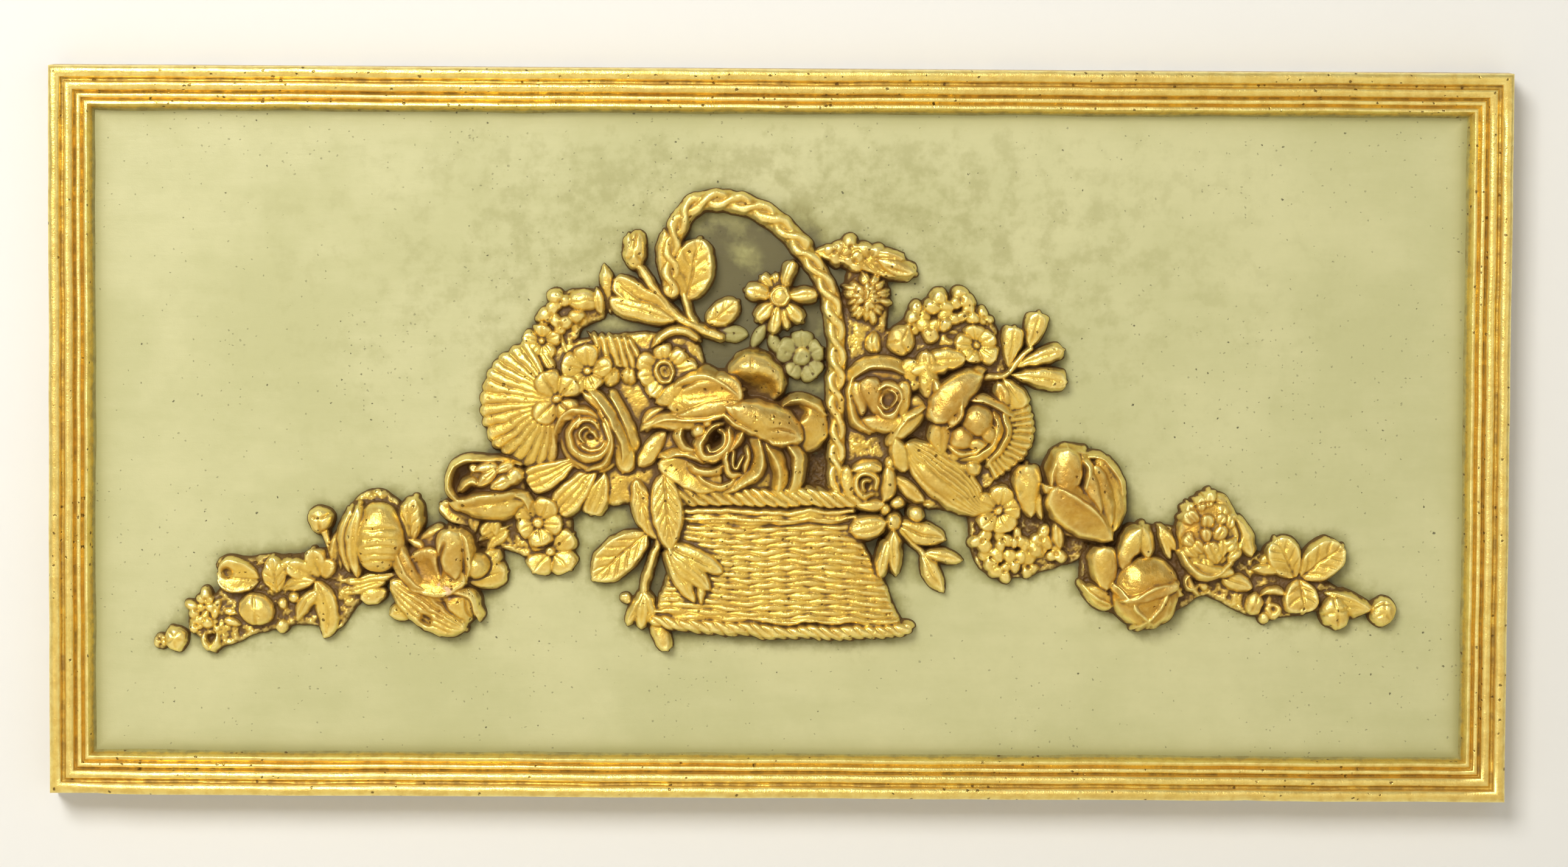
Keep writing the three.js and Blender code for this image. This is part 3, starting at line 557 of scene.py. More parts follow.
@dataclass(frozen=True)
class Stem(Carving):
    """A round stalk along a curve of (x, z, rise)."""

    line: Line
    width: float
    softness: ClassVar[float] = 0.25

    def box(self) -> Box:
        """Returns the window that the stalk reaches over."""
        return box_round(np.array(self.line), self.width / 2 + 4)

    def heights(self, x: np.ndarray, z: np.ndarray) -> np.ndarray:
        """Returns the stalk's height at every point of its window."""
        gap, side, rise, share = nearest(spline(self.line), x, z)
        half = self.width / 2
        round_top = np.sqrt(np.clip(1 - (gap / half) ** 2, 0, 1))
        return drafted(rise - half * 0.8 * (1 - round_top), half - gap, self.softness)


@dataclass(frozen=True)
class Wicker(Carving):
    """The basket's side: rows of strands that pass over and under the stakes.

    left and right are the side's edge lines of (x, z) from the top down.
    """

    left: Line
    right: Line
    top: float
    foot: float
    edge_rise: float
    belly_rise: float
    row_pitch: float = 2.35
    stake_pitch: float = 14.6
    bulge: float = 0.75

    def box(self) -> Box:
        """Returns the window that the basket's side reaches over."""
        return box_round(np.array([*self.left, *self.right]), 5)

    def heights(self, x: np.ndarray, z: np.ndarray) -> np.ndarray:
        """Returns the basket side's height at every point of its window."""
        left, right = spline(self.left)[::-1], spline(self.right)[::-1]
        low = np.interp(z, left[:, 1], left[:, 0])
        high = np.interp(z, right[:, 1], right[:, 0])
        across = (x - low) / (high - low)
        inside = np.clip(across, 0, 1)
        belly = np.sqrt(np.clip(1 - (2 * inside - 1) ** 4, 0, 1))
        down = (self.top - z + 0.6 * np.sin(x / 9.0)) / self.row_pitch
        row = np.floor(down)
        strand = np.sqrt(np.clip(1 - (2 * (down - row) - 1) ** 2, 0, 1))
        flare = 1 + 0.14 * (self.top - z) / (self.top - self.foot)
        stake = (x + 4.2) / (self.stake_pitch * flare) + 0.5 * (row % 2)
        over = 0.5 - 0.5 * np.cos(2 * math.pi * stake)
        top = self.edge_rise + (self.belly_rise - self.edge_rise) * belly
        top = top + self.bulge * (over**0.6 - 0.5) * 1.3 - 0.75 * (1 - strand)
        gap = np.minimum(np.minimum(x - low, high - x) * 0.93, np.minimum(self.top - z, z - self.foot))
        return drafted(top, gap)


def petal(*values: float, **options: float) -> Blade:
    """Returns a round-ended petal from a blade's values."""
    return Blade(*values, **options)


def leaf(*values: float, **options: float) -> Blade:
    """Returns a pointed leaf from a blade's values."""
    return Blade(*values, outline=Outline.LEAF, **options)


def dome(*values: float, **options: float) -> Dome:
    """Returns an oval dome from its values."""
    return Dome(*values, **options)


def bead(x: float, z: float, radius: float, rise: float, **options: float) -> Dome:
    """Returns a round bead."""
    return Dome(x, z, radius, radius, rise, **options)


def arc(x: float, z: float, wide: float, tall: float, turn: float, start: float, end: float, rise: float) -> Line:
    """Lays points along an oval about a centre.

    Args:
        x: centre to the right.
        z: centre upwards.
        wide: half of the oval along its own first axis.
        tall: half of the oval along its own second axis.
        turn: direction of the first axis in degrees.
        start: where the stretch begins, in degrees round the oval.
        end: where it ends.
        rise: height of the stretch.

    Returns:
        The points of the stretch.
    """
    points = []
    for angle in np.radians(np.linspace(start, end, 7)):
        u, v = wide * math.cos(angle), tall * math.sin(angle)
        way = math.radians(turn)
        points.append((x + u * math.cos(way) - v * math.sin(way), z + u * math.sin(way) + v * math.cos(way), rise))
    return points


def blossom(
    x: float, z: float, reach: float, count: int, first: float, rise: float, hub: float = 2.3, **options: float
) -> list[Carving]:
    """Makes a small flower of equal petals round a bead.

    Args:
        x: middle to the right.
        z: middle upwards.
        reach: length of a petal from the middle.
        count: number of petals.
        first: direction of the first petal in degrees.
        rise: height of the bead.
        hub: radius of the bead.
        **options: further values of the petals.

    Returns:
        The flower's carvings.
    """
    width = min(reach * 1.62 * math.sin(math.pi / count), reach * 0.95)
    source = np.random.default_rng(int(abs(x * 31 + z * 17)))
    values = {"cup": -0.9, "arch": 0.9, "vein": 0.45, **options}
    made: list[Carving] = [dome(x, z, reach * 0.62, reach * 0.62, rise - 3.4, green=options.get("green", 0.0))]
    for i in range(count):
        turn = first + 360 * i / count + source.uniform(-9, 9)
        root = outward(x, z, turn, hub * 0.5, hub * 0.5)
        long, wide = (reach - hub * 0.5) * source.uniform(0.88, 1.1), width * source.uniform(0.9, 1.14)
        drop = source.uniform(-0.4, 0.5)
        made.append(petal(*root, long, wide, turn, rise - 2.6, rise - 1.0 + drop, **values))
    made.append(dome(x, z, hub, hub * 0.9, rise + 0.3, green=options.get("green", 0.0)))
    made.append(Hollow(x, z, hub * 0.35, hub * 0.35, 0.7))
    return made


def florets(spots: list[tuple[float, float, float, float]], seed: int) -> list[Carving]:
    """Makes uneven florets that crowd each other.

    Args:
        spots: x, z, radius and rise of each floret.
        seed: number that fixes how they vary.

    Returns:
        The carvings, three lobes and a dimple to a floret.
    """
    source = np.random.default_rng(seed)
    made: list[Carving] = []
    for x, z, radius, rise in spots:
        first = source.uniform(0, 360)
        for k in range(3):
            turn = first + 120 * k + source.uniform(-15, 15)
            long, wide = radius * source.uniform(0.7, 0.9), radius * source.uniform(0.58, 0.76)
            place = outward(x, z, turn, 0.5 * radius, 0.5 * radius)
            made.append(Dome(*place, long, wide, rise + source.uniform(-1.2, 0.3), turn, crown=0.26))
        made.append(Hollow(x, z, radius * 0.24, radius * 0.24, 0.8))
    return made


class ReliefField:
    """The carved relief as heights above the ground on a fine grid."""

    def __init__(self, limits: Box, step: float) -> None:
        """Lays out an empty grid.

        Args:
            limits: left, right, low and high edges in millimetres.
            step: spacing of the grid.
        """
        self.left, self.right, self.low, self.high = limits
        self.step = step
        self.x = np.arange(self.left, self.right, step)
        self.z = np.arange(self.low, self.high, step)
        shape = (len(self.z), len(self.x))
        self.rise = np.full(shape, UNDER_GROUND, dtype=np.float32)
        self.green = np.zeros(shape, dtype=np.float32)

    def window(self, box: Box) -> tuple[slice, slice, np.ndarray, np.ndarray]:
        """Finds the grid points inside a box.

        Args:
            box: left, right, low and high limits.

        Returns:
            The rows, the columns and the places of the points.
        """
        first = max(int((box[0] - self.left) / self.step), 0)
        last = min(int((box[1] - self.left) / self.step) + 1, len(self.x))
        low = max(int((box[2] - self.low) / self.step), 0)
        high = min(int((box[3] - self.low) / self.step) + 1, len(self.z))
        rows, columns = slice(low, max(high, low)), slice(first, max(last, first))
        x, z = np.meshgrid(self.x[columns], self.z[rows])
        return rows, columns, x, z

    def lift(self, rows: slice, columns: slice, heights: np.ndarray, green: float) -> None:
        """Raises the grid to some heights, and keeps which paint the raised places have."""
        here = self.rise[rows, columns]
        raised = heights > here
        self.rise[rows, columns] = np.where(raised, heights, here)
        self.green[rows, columns] = np.where(raised, green, self.green[rows, columns])

    def cut(self, rows: slice, columns: slice, depth: np.ndarray) -> None:
        """Lowers the grid, but no relief to below the cut floor."""
        here = self.rise[rows, columns]
        floor = np.minimum(here, CUT_FLOOR)
        self.rise[rows, columns] = np.maximum(here - depth, floor)


def blurred(values: np.ndarray, sigma: float) -> np.ndarray:
    """Blurs a grid.

    Args:
        values: the grid.
        sigma: spread of the blur in grid steps.

    Returns:
        The blurred grid.
    """
    reach = max(int(sigma * 2.6), 1)
    weights = np.exp(-0.5 * (np.arange(-reach, reach + 1) / sigma) ** 2)
    weights = (weights / weights.sum()).astype(np.float32)
    out = values.astype(np.float32)
    for axis in (0, 1):
        pads = [(0, 0), (0, 0)]
        pads[axis] = (reach, reach)
        padded = np.pad(out, pads, mode="edge")
        total = np.zeros_like(out)
        size = out.shape[axis]
        for i, weight in enumerate(weights):
            part = padded[i : i + size] if axis == 0 else padded[:, i : i + size]
            total += weight * part
        out = total
    return out


def rough_noise(shape: tuple[int, int], cell: float, seed: int) -> np.ndarray:
    """Makes soft random waves between about -1 and 1.

    Args:
        shape: rows and columns of the grid.
        cell: size of the waves in grid steps.
        seed: number that fixes the pattern.

    Returns:
        The waves.
    """
    source = np.random.default_rng(seed)
    rows, columns = int(shape[0] / cell) + 3, int(shape[1] / cell) + 3
    coarse = source.uniform(-1, 1, (rows, columns))
    r, c = np.arange(shape[0]) / cell, np.arange(shape[1]) / cell
    ri, ci = r.astype(int), c.astype(int)
    rf, cf = r - ri, c - ci
    rf, cf = (rf * rf * (3 - 2 * rf))[:, None], (cf * cf * (3 - 2 * cf))[None, :]
    top = coarse[np.ix_(ri, ci)] * (1 - cf) + coarse[np.ix_(ri, ci + 1)] * cf
    low = coarse[np.ix_(ri + 1, ci)] * (1 - cf) + coarse[np.ix_(ri + 1, ci + 1)] * cf
    return (top * (1 - rf) + low * rf).astype(np.float32)


def wavered(grid: np.ndarray, step: float) -> np.ndarray:
    """Shifts a grid's places a little at random, so that every outline looks cut by hand.

    Args:
        grid: the grid.
        step: spacing of the grid in millimetres.

    Returns:
        The shifted grid.
    """
    rows, columns = np.indices(grid.shape, dtype=np.float32)
    for shift, cell, seed in ((0.75, 9.0, 21), (0.34, 3.1, 23)):
        rows += shift / step * rough_noise(grid.shape, cell / step, seed)
        columns += shift / step * rough_noise(grid.shape, cell / step, seed + 1)
    rows = np.clip(rows, 0, grid.shape[0] - 1.01)
    columns = np.clip(columns, 0, grid.shape[1] - 1.01)
    r, c = rows.astype(int), columns.astype(int)
    up, across = rows - r, columns - c
    low = grid[r, c] * (1 - across) + grid[r, c + 1] * across
    high = grid[r + 1, c] * (1 - across) + grid[r + 1, c + 1] * across
    return low * (1 - up) + high * up


# The layout of the relief


@dataclass
class ReliefGroup:
    """One part of the relief, with the forms that are carved in it."""

    name: str

    def carvings(self) -> list[Carving]:
        """Returns the carved forms from the lowest to the last laid on top."""
        raise NotImplementedError


@dataclass
class LeftGarland(ReliefGroup):
    """The garland from the left tip to the bouquet, with a fluted bud and two roses."""

    web_rise: float = 2.6

    def carvings(self) -> list[Carving]:
        """Returns the garland's carvings."""
        return [*self.tip(), *self.fluted_bud(), *self.lower_rose(), *self.cup_rose()]

    def tip(self) -> list[Carving]:
        """Returns the buds, pods and leaves at the garland's end."""
        outline = [(-233, -53), (-233, -66), (-243, -70), (-245, -82), (-232, -90), (-214, -83), (-196, -80)]
        outline += [(-184, -82), (-176, -72), (-163, -62), (-180, -50), (-190, -49.5), (-212, -51.5)]
        return [
            Web(outline, self.web_rise),
            bead(-257.5, -87.5, 3.4, 3.6, seams=3, seam_turn=20),
            dome(-251, -86, 4.9, 5.3, 6.5, seams=5, seam_turn=200, seam_depth=0.4),
            *florets(
                [(-242.4, -73.4, 3.6, 5.6), (-238.6, -68.8, 3.2, 5.8), (-234.8, -73.6, 3.4, 5.8)]
                + [(-239, -77.6, 3.6, 6.2), (-242.6, -80.4, 3, 5), (-233.4, -80, 3.2, 5.2)],
                27,
            ),
            petal(-238.5, -83, 9, 3.2, -75, 4, 5.2, sweep=60),
            petal(-233.5, -83, 9, 3.2, -105, 4, 5.2, sweep=-60),
            bead(-236, -87, 4, 3),
            Hollow(-236, -86.5, 1.8, 2.2, 2.2),
            petal(-216, -61, 17, 14, 174, 4, 6.2, cup=1.2, vein=0.5, lip=0.6),
            Hollow(-229, -58, 2.2, 2, 2.4),
            leaf(-208, -67, 15, 10.5, 97, 4, 7.4, vein=0.7, veins=4),
            leaf(-206, -60, 9, 7, 60, 5, 6.5, vein=0.5),
            dome(-217, -73.5, 7.2, 7.2, 9.5, seams=2, seam_turn=90, seam_depth=0.7),
            petal(-223, -81, 8, 4, 155, 4, 5),
            petal(-224, -76, 7, 3.6, 165, 3, 4),
            petal(-191, -61, 14, 8, 153, 4, 7.4, cup=0.8, grooves=2),
            petal(-191, -60, 11.5, 8, 100, 4, 7.4, cup=0.8, grooves=2),
            petal(-190, -61, 9, 6, 62, 4, 6.2, cup=0.6),
            leaf(-206, -66, 14, 6, 18, 4, 7.2, sweep=-40, vein=0.5),
            petal(-201, -79, 16, 6.5, 52, 4, 7.4, sweep=-30, grooves=2),
            leaf(-193, -62, 24, 8.5, -82, 6.6, 4, sweep=-70, vein=0.6),
            bead(-207, -80.5, 3, 5),
            bead(-201, -68.5, 2.8, 6.4),
            bead(-206, -71, 2.6, 5.6),
            Stem([(-189, -41, 5), (-187, -46, 4), (-185, -51, 3.6)], 3.4),
            dome(-190.5, -36.5, 5.3, 5.2, 7.8, seams=3, seam_turn=35, seam_depth=0.8),
        ]

    def fluted_bud(self) -> list[Carving]:
        """Returns the fluted bud that lies on its side, with its sepals."""
        made: list[Carving] = [
            dome(-167, -40, 13.5, 16, 5),
            dome(-166, -43.5, 11, 14.5, 15, crown=0.55),
            leaf(-175.5, -59, 29, 6.5, 86, 8.5, 13, arch=2.5, grooves=2, sweep=-12),
            leaf(-179, -58, 27, 6, 86, 6, 10.5, arch=2.5, grooves=2, sweep=-16),
            leaf(-182.5, -57.5, 22, 5, 84, 4, 8, grooves=1),
            leaf(-186, -57, 16, 4.4, 78, 3.4, 6, vein=0.4),
        ]
        for z in (-39.5, -43, -46.5, -50, -53):
            made.append(Groove([(-172, z - 0.6), (-165, z + 0.5), (-157, z)], 0.55, 0.55))
        made += [
            leaf(-184, -62, 27, 5, 7, 3.4, 6.4, grooves=2),
            leaf(-184, -66.5, 21, 4.5, 12, 3.2, 5.6, vein=0.5),
            petal(-163, -66, 11, 8, 195, 4, 5),
        ]
        return made

    def lower_rose(self) -> list[Carving]:
        """Returns the open rose low in the garland."""
        return [
            dome(-143, -61, 16.5, 17.5, 9),
            petal(-152, -60, 27, 6, -46, 9.5, 7, sweep=-18),
            petal(-158, -43, 35, 6.5, -47, 10.5, 10, sweep=75, cup=-0.4),
            Fold(
                [(-159, -43, 11.5), (-157.5, -52, 12), (-151, -61, 12), (-142, -66.5, 11.4), (-134, -68, 10.6)],
                3.38, 0.66, 3.4, 0.28,
            ),
            Fold([(-153, -58, 11), (-147, -64.5, 11), (-140, -71, 10.4), (-133, -80, 8)], 2.8, 0.72, 2.8, 0.28),
            petal(-130, -62, 26, 20, 163, 12.5, 8.5, cup=0.6),
            Hollow(-146, -57, 7, 4, 1.6, -35),
            petal(-134, -61, 21.5, 13, 96, 13.6, 15.8, cup=-2.4),
            Fold(
                [(-128.5, -59, 13.8), (-127, -52, 15.4), (-128.5, -44, 15.6), (-132, -40.5, 14.8)],
                0.72, 4.42, 2.5, 0.28,
            ),
            Groove([(-139.5, -60), (-140.5, -52), (-138, -44)], 1.0, 2.2),
            dome(-125.5, -55, 5.8, 5.6, 14),
            petal(-130, -61, 17.5, 10, 12, 8.4, 5.6, vein=0.6),
            leaf(-126, -58, 14, 8, 45, 7.4, 4.4, vein=0.5),
            leaf(-161, -61.5, 37, 17, -33, 9, 9.4, cup=-2, grooves=7, groove_depth=0.6),
            dome(-134, -71, 8.4, 10, 10.4),
            Fold([(-141, -64.5, 11.6), (-135, -66, 12), (-128, -68, 11.4), (-125.5, -75, 10)], 0.6, 3.38, 3.1, 0.28),
            Groove([(-139, -66), (-137, -73), (-130, -79)], 0.7, 1.2),
            Groove([(-130, -68), (-129.5, -73), (-127, -77)], 0.6, 0.9),
            bead(-146, -77, 5, 5),
            Hollow(-146, -77, 2.4, 2.4, 3.0),
            leaf(-143, -73, 11.5, 4.6, -78, 8, 4.4, vein=0.4),
            leaf(-151, -71, 12, 8, 205, 6, 4.4, vein=0.5),
            leaf(-153, -46, 19, 8.5, 84, 6.2, 9.4, sweep=-25, vein=0.7, veins=4),
            leaf(-155, -43, 12, 4, -38, 6.4, 7.4, sweep=-30),
            petal(-152, -46, 15, 7, 22, 4.2, 6.4, grooves=2),
        ]

    def cup_rose(self) -> list[Carving]:
        """Returns the cup-shaped rose high in the garland, and what hangs under it."""
        outline = [(-137, -30), (-128, -46), (-112, -49), (-102, -52), (-90, -52), (-86, -40), (-92, -24)]
        outline += [(-110, -20)]
        return [
            Web(outline, 3.2),
            dome(-121, -22, 15.6, 12, 8.8, crown=0.3),
            petal(-134, -30.5, 29, 11, 3, 9, 9, cup=-3, arch=4.4),
            Fold(
                [(-107, -13, 10), (-116, -11.4, 11), (-125, -11, 11.8), (-132, -12.6, 12.8), (-135.8, -17, 13.4)]
                + [(-135.8, -23, 14), (-132.4, -27.6, 14.4)],
                2.8, 1.1, 1.4, 0.26, taper=2,
            ),
            Fold([(-132, -27.4, 14), (-125, -26, 15), (-117, -25.4, 15), (-109, -24.8, 13.2)], 3.4, 0.75, 4.6, 0.28),
            Hollow(-129.6, -19, 4.2, 6.6, 4.2),
            dome(-117.6, -18.4, 10.6, 7, 11.6, crown=0.35),
            petal(-125, -22, 11, 6, 40, 12.4, 13, cup=-1.2, vein=0.4),
            petal(-120, -23, 11, 6.4, 22, 12.8, 13.2, cup=-1.4, vein=0.4),
            petal(-113, -22, 9, 6, 52, 12.6, 12.2, cup=-1.2),
            petal(-126, -15.6, 10, 5, 8, 12, 12.2, sweep=-30, cup=-1.2),
            petal(-118, -16.6, 9, 5, 22, 12.4, 12, cup=-1.2, vein=0.4),
            petal(-112, -16, 7, 4.6, -20, 12, 11.4, cup=-1),
            bead(-125.8, -14.6, 2.4, 12.2, crown=0.4),
            Hollow(-125.8, -14.4, 0.9, 0.9, 1.0),
            Fold([(-131, -22.8, 12.4), (-127.4, -20, 13), (-124.4, -21, 13)], 1.0, 2.8, 2.2, 0.28),
            Fold([(-110, -25.4, 12.4), (-105.6, -28, 11), (-102.5, -34, 8)], 0.8, 2.8, 2.6, 0.28),
            petal(-127, -38, 16, 7.5, 148, 5, 5.4, cup=0.8, vein=0.4),
            leaf(-127, -43, 13, 5, 85, 5, 6.6, vein=0.4),
            petal(-123, -44, 11, 6.5, 62, 6, 5.6, grooves=2),
            petal(-117, -43, 10, 6.5, 95, 6, 5.6, grooves=2),
            leaf(-126, -46, 17, 3.6, 30, 4.4, 5.4),
            leaf(-111, -39, 15, 4.4, 222, 4.8, 4.2, vein=0.3),
            *blossom(-95, -48.5, 11, 4, 225, 6.8),
            *blossom(-100, -37, 10, 5, 62, 9.2, 2.8),
        ]


@dataclass
class LeftBouquet(ReliefGroup):
    """The bouquet left of the basket: a pleated fan, an open rose and small flowers."""

    fan_ribs: int = 16

    def carvings(self) -> list[Carving]:
        """Returns the bouquet's carvings."""
        return [*self.ground_work(), *self.rose(), *self.small_flowers()]

    def ground_work(self) -> list[Carving]:
        """Returns the webs, the fan, the pleated row and the leaves under the rose."""
        body = [(-100, -14), (-94, -24), (-74, -30), (-52, -24), (-34, -6), (-33, 36), (-52, 42), (-86, 38)]
        body += [(-100, 30), (-104, 10)]
        lobe = [(-96, 44), (-86, 36), (-82, 44), (-74, 48), (-74, 58), (-90, 59)]
        reaches = tuple(22 + 10 * math.sin(math.pi * (0.12 + 0.72 * t)) ** 0.7 for t in np.linspace(0, 1, 9))
        return [
            Web(body, 4.4),
            Web(lobe, 3.4),
            Fan(-92, 14, 116, 270, reaches, self.fan_ribs, 9.5, 5.8, depth=1.15, scallop=0.7),
            Pleats(((-54, 27), (-76, 28.5)), ((-60, 39), (-79, 41)), 6, (6.4, 7.2, 7), depth=1.5),
            petal(-83, -11, 24, 10.5, 205, 7.4, 6.2, cup=0.8, grooves=4, outline=Outline.SPOON),
            petal(-75, -13, 26, 10.5, 228, 7.4, 6.2, grooves=4, cup=0.4, outline=Outline.SPOON),
            petal(-72, -15, 20, 8.4, 252, 6.4, 5.4, grooves=3, cup=0.3, outline=Outline.SPOON),
        ]

    def rose(self) -> list[Carving]:
        """Returns the open rose in the middle of the bouquet."""
        return [
            dome(-77, -1, 14.5, 15.5, 9.4, crown=0.3),
            petal(-73, 9, 27, 9, -68, 11.6, 9.6, sweep=-35, cup=-1.6),
            Fold(
                [(-93, -1, 9.4), (-91, 5.6, 11), (-86, 9.4, 12.4), (-79, 9.6, 12.8), (-75, 7, 12.6)],
                2.8, 0.7, 3.4, 0.26,
            ),
            Fold(
                [(-77, 16, 12.6), (-71.5, 9.6, 14), (-67.6, 2, 14.2), (-65, -5, 13.4), (-65, -13, 11)],
                0.7, 2.8, 3.4, 0.26,
            ),
            Fold([(-69, 15.4, 12), (-65.4, 8, 12), (-62.4, 0, 11.2), (-60, -6.6, 9.2)], 0.8, 2.8, 3, 0.26),
            Fold(
                [(-73, 8.6, 13.4), (-69.4, 2, 13.8), (-69, -5, 13.2), (-72, -12, 12), (-79, -15, 10.4)],
                2.8, 0.8, 2.6, 0.26,
            ),
            dome(-78.6, -1.2, 8.6, 8.8, 12.2, crown=0.2),
            Fold(arc(-78.6, -1.2, 8.4, 8.6, 0, 118, 405, 14.2), 1.7, 1.3, 1.8, 0.24, taper=1.6),
            Hollow(-79, -0.6, 5, 5.2, 1.6),
            Fold(arc(-79.4, 0.4, 5.2, 5.4, 0, 20, 160, 13.4), 2.8, 1.0, 1.8, 0.24, taper=1.2),
            Fold(arc(-77.6, -2, 5.4, 5, 20, 190, 330, 13.2), 2.8, 1.0, 1.8, 0.24, taper=1.2),
            Fold(arc(-79.6, -0.6, 3, 3.4, 0, 70, 250, 13), 2.8, 1.4, 1.4, 0.22, taper=1),
            Fold([(-78.6, 1.6, 13), (-76.4, 0.4, 13.2), (-75.4, -2.4, 13)], 1.2, 2.6, 1.4, 0.22),
            Hollow(-78.2, -1.2, 1.4, 1.2, 1.8),
            Groove([(-85, -12.4), (-80, -15.5), (-74, -15.5)], 0.6, 1.0),
            petal(-81, 17.6, 18, 5.6, -40, 10, 11, grooves=1),
        ]

    def small_flowers(self) -> list[Carving]:
        """Returns the small flowers round the rose and above it."""
        return [
            *blossom(-99, 38, 7.5, 5, 90, 7.6, 1.6),
            leaf(-100, 34, 10, 5, -50, 6, 7.2, vein=0.5),
            Stem([(-92, 46, 5), (-90, 37, 5), (-85, 30, 6)], 3),
            *blossom(-91.5, 15, 11.5, 4, 133, 12, 2.4, grooves=2),
            *blossom(-79.5, 26.5, 10, 5, 88, 10.6, 2.2),
            dome(-69.5, 24, 4.5, 5, 9, seams=2, seam_turn=50),
            dome(-62, 24.5, 4, 4.8, 8.2, seams=2, seam_turn=80),
            *florets(
                [(-91.4, 55.6, 4.4, 7.8), (-94.4, 50, 4.4, 7.6), (-90.6, 45.4, 4.2, 7.4), (-97.4, 47, 3.2, 6.2)],
                8,
            ),
            dome(-82, 55, 6.4, 4.8, 7.8, -12, crown=0.5, seams=2, seam_turn=20, seam_depth=0.4),
            dome(-84.4, 48.6, 3.8, 3.4, 7.2, 20),
            leaf(-75, 49, 11, 5, 98, 5, 6.4, vein=0.4),
            petal(-53, 36, 20, 4, 10, 8, 8, sweep=-110),
            *blossom(-47, 26, 12.4, 8, 12, 11.2, 3.6),
            Fold(arc(-47, 26, 3.5, 3.7, 0, 0, 350, 12.4), 1.5, 1.5, 0.9, 0.4, taper=0.2),
            Hollow(-47, 26, 1.8, 1.8, 1.4),
            petal(-50.5, 14, 12.5, 9, 25, 10.5, 13, cup=-1.2),
            leaf(-47, 1, 18.5, 8, 232, 8.4, 9.8, cup=-1.2),
            leaf(-46, 13, 14, 4, 215, 8, 8.4),
        ]


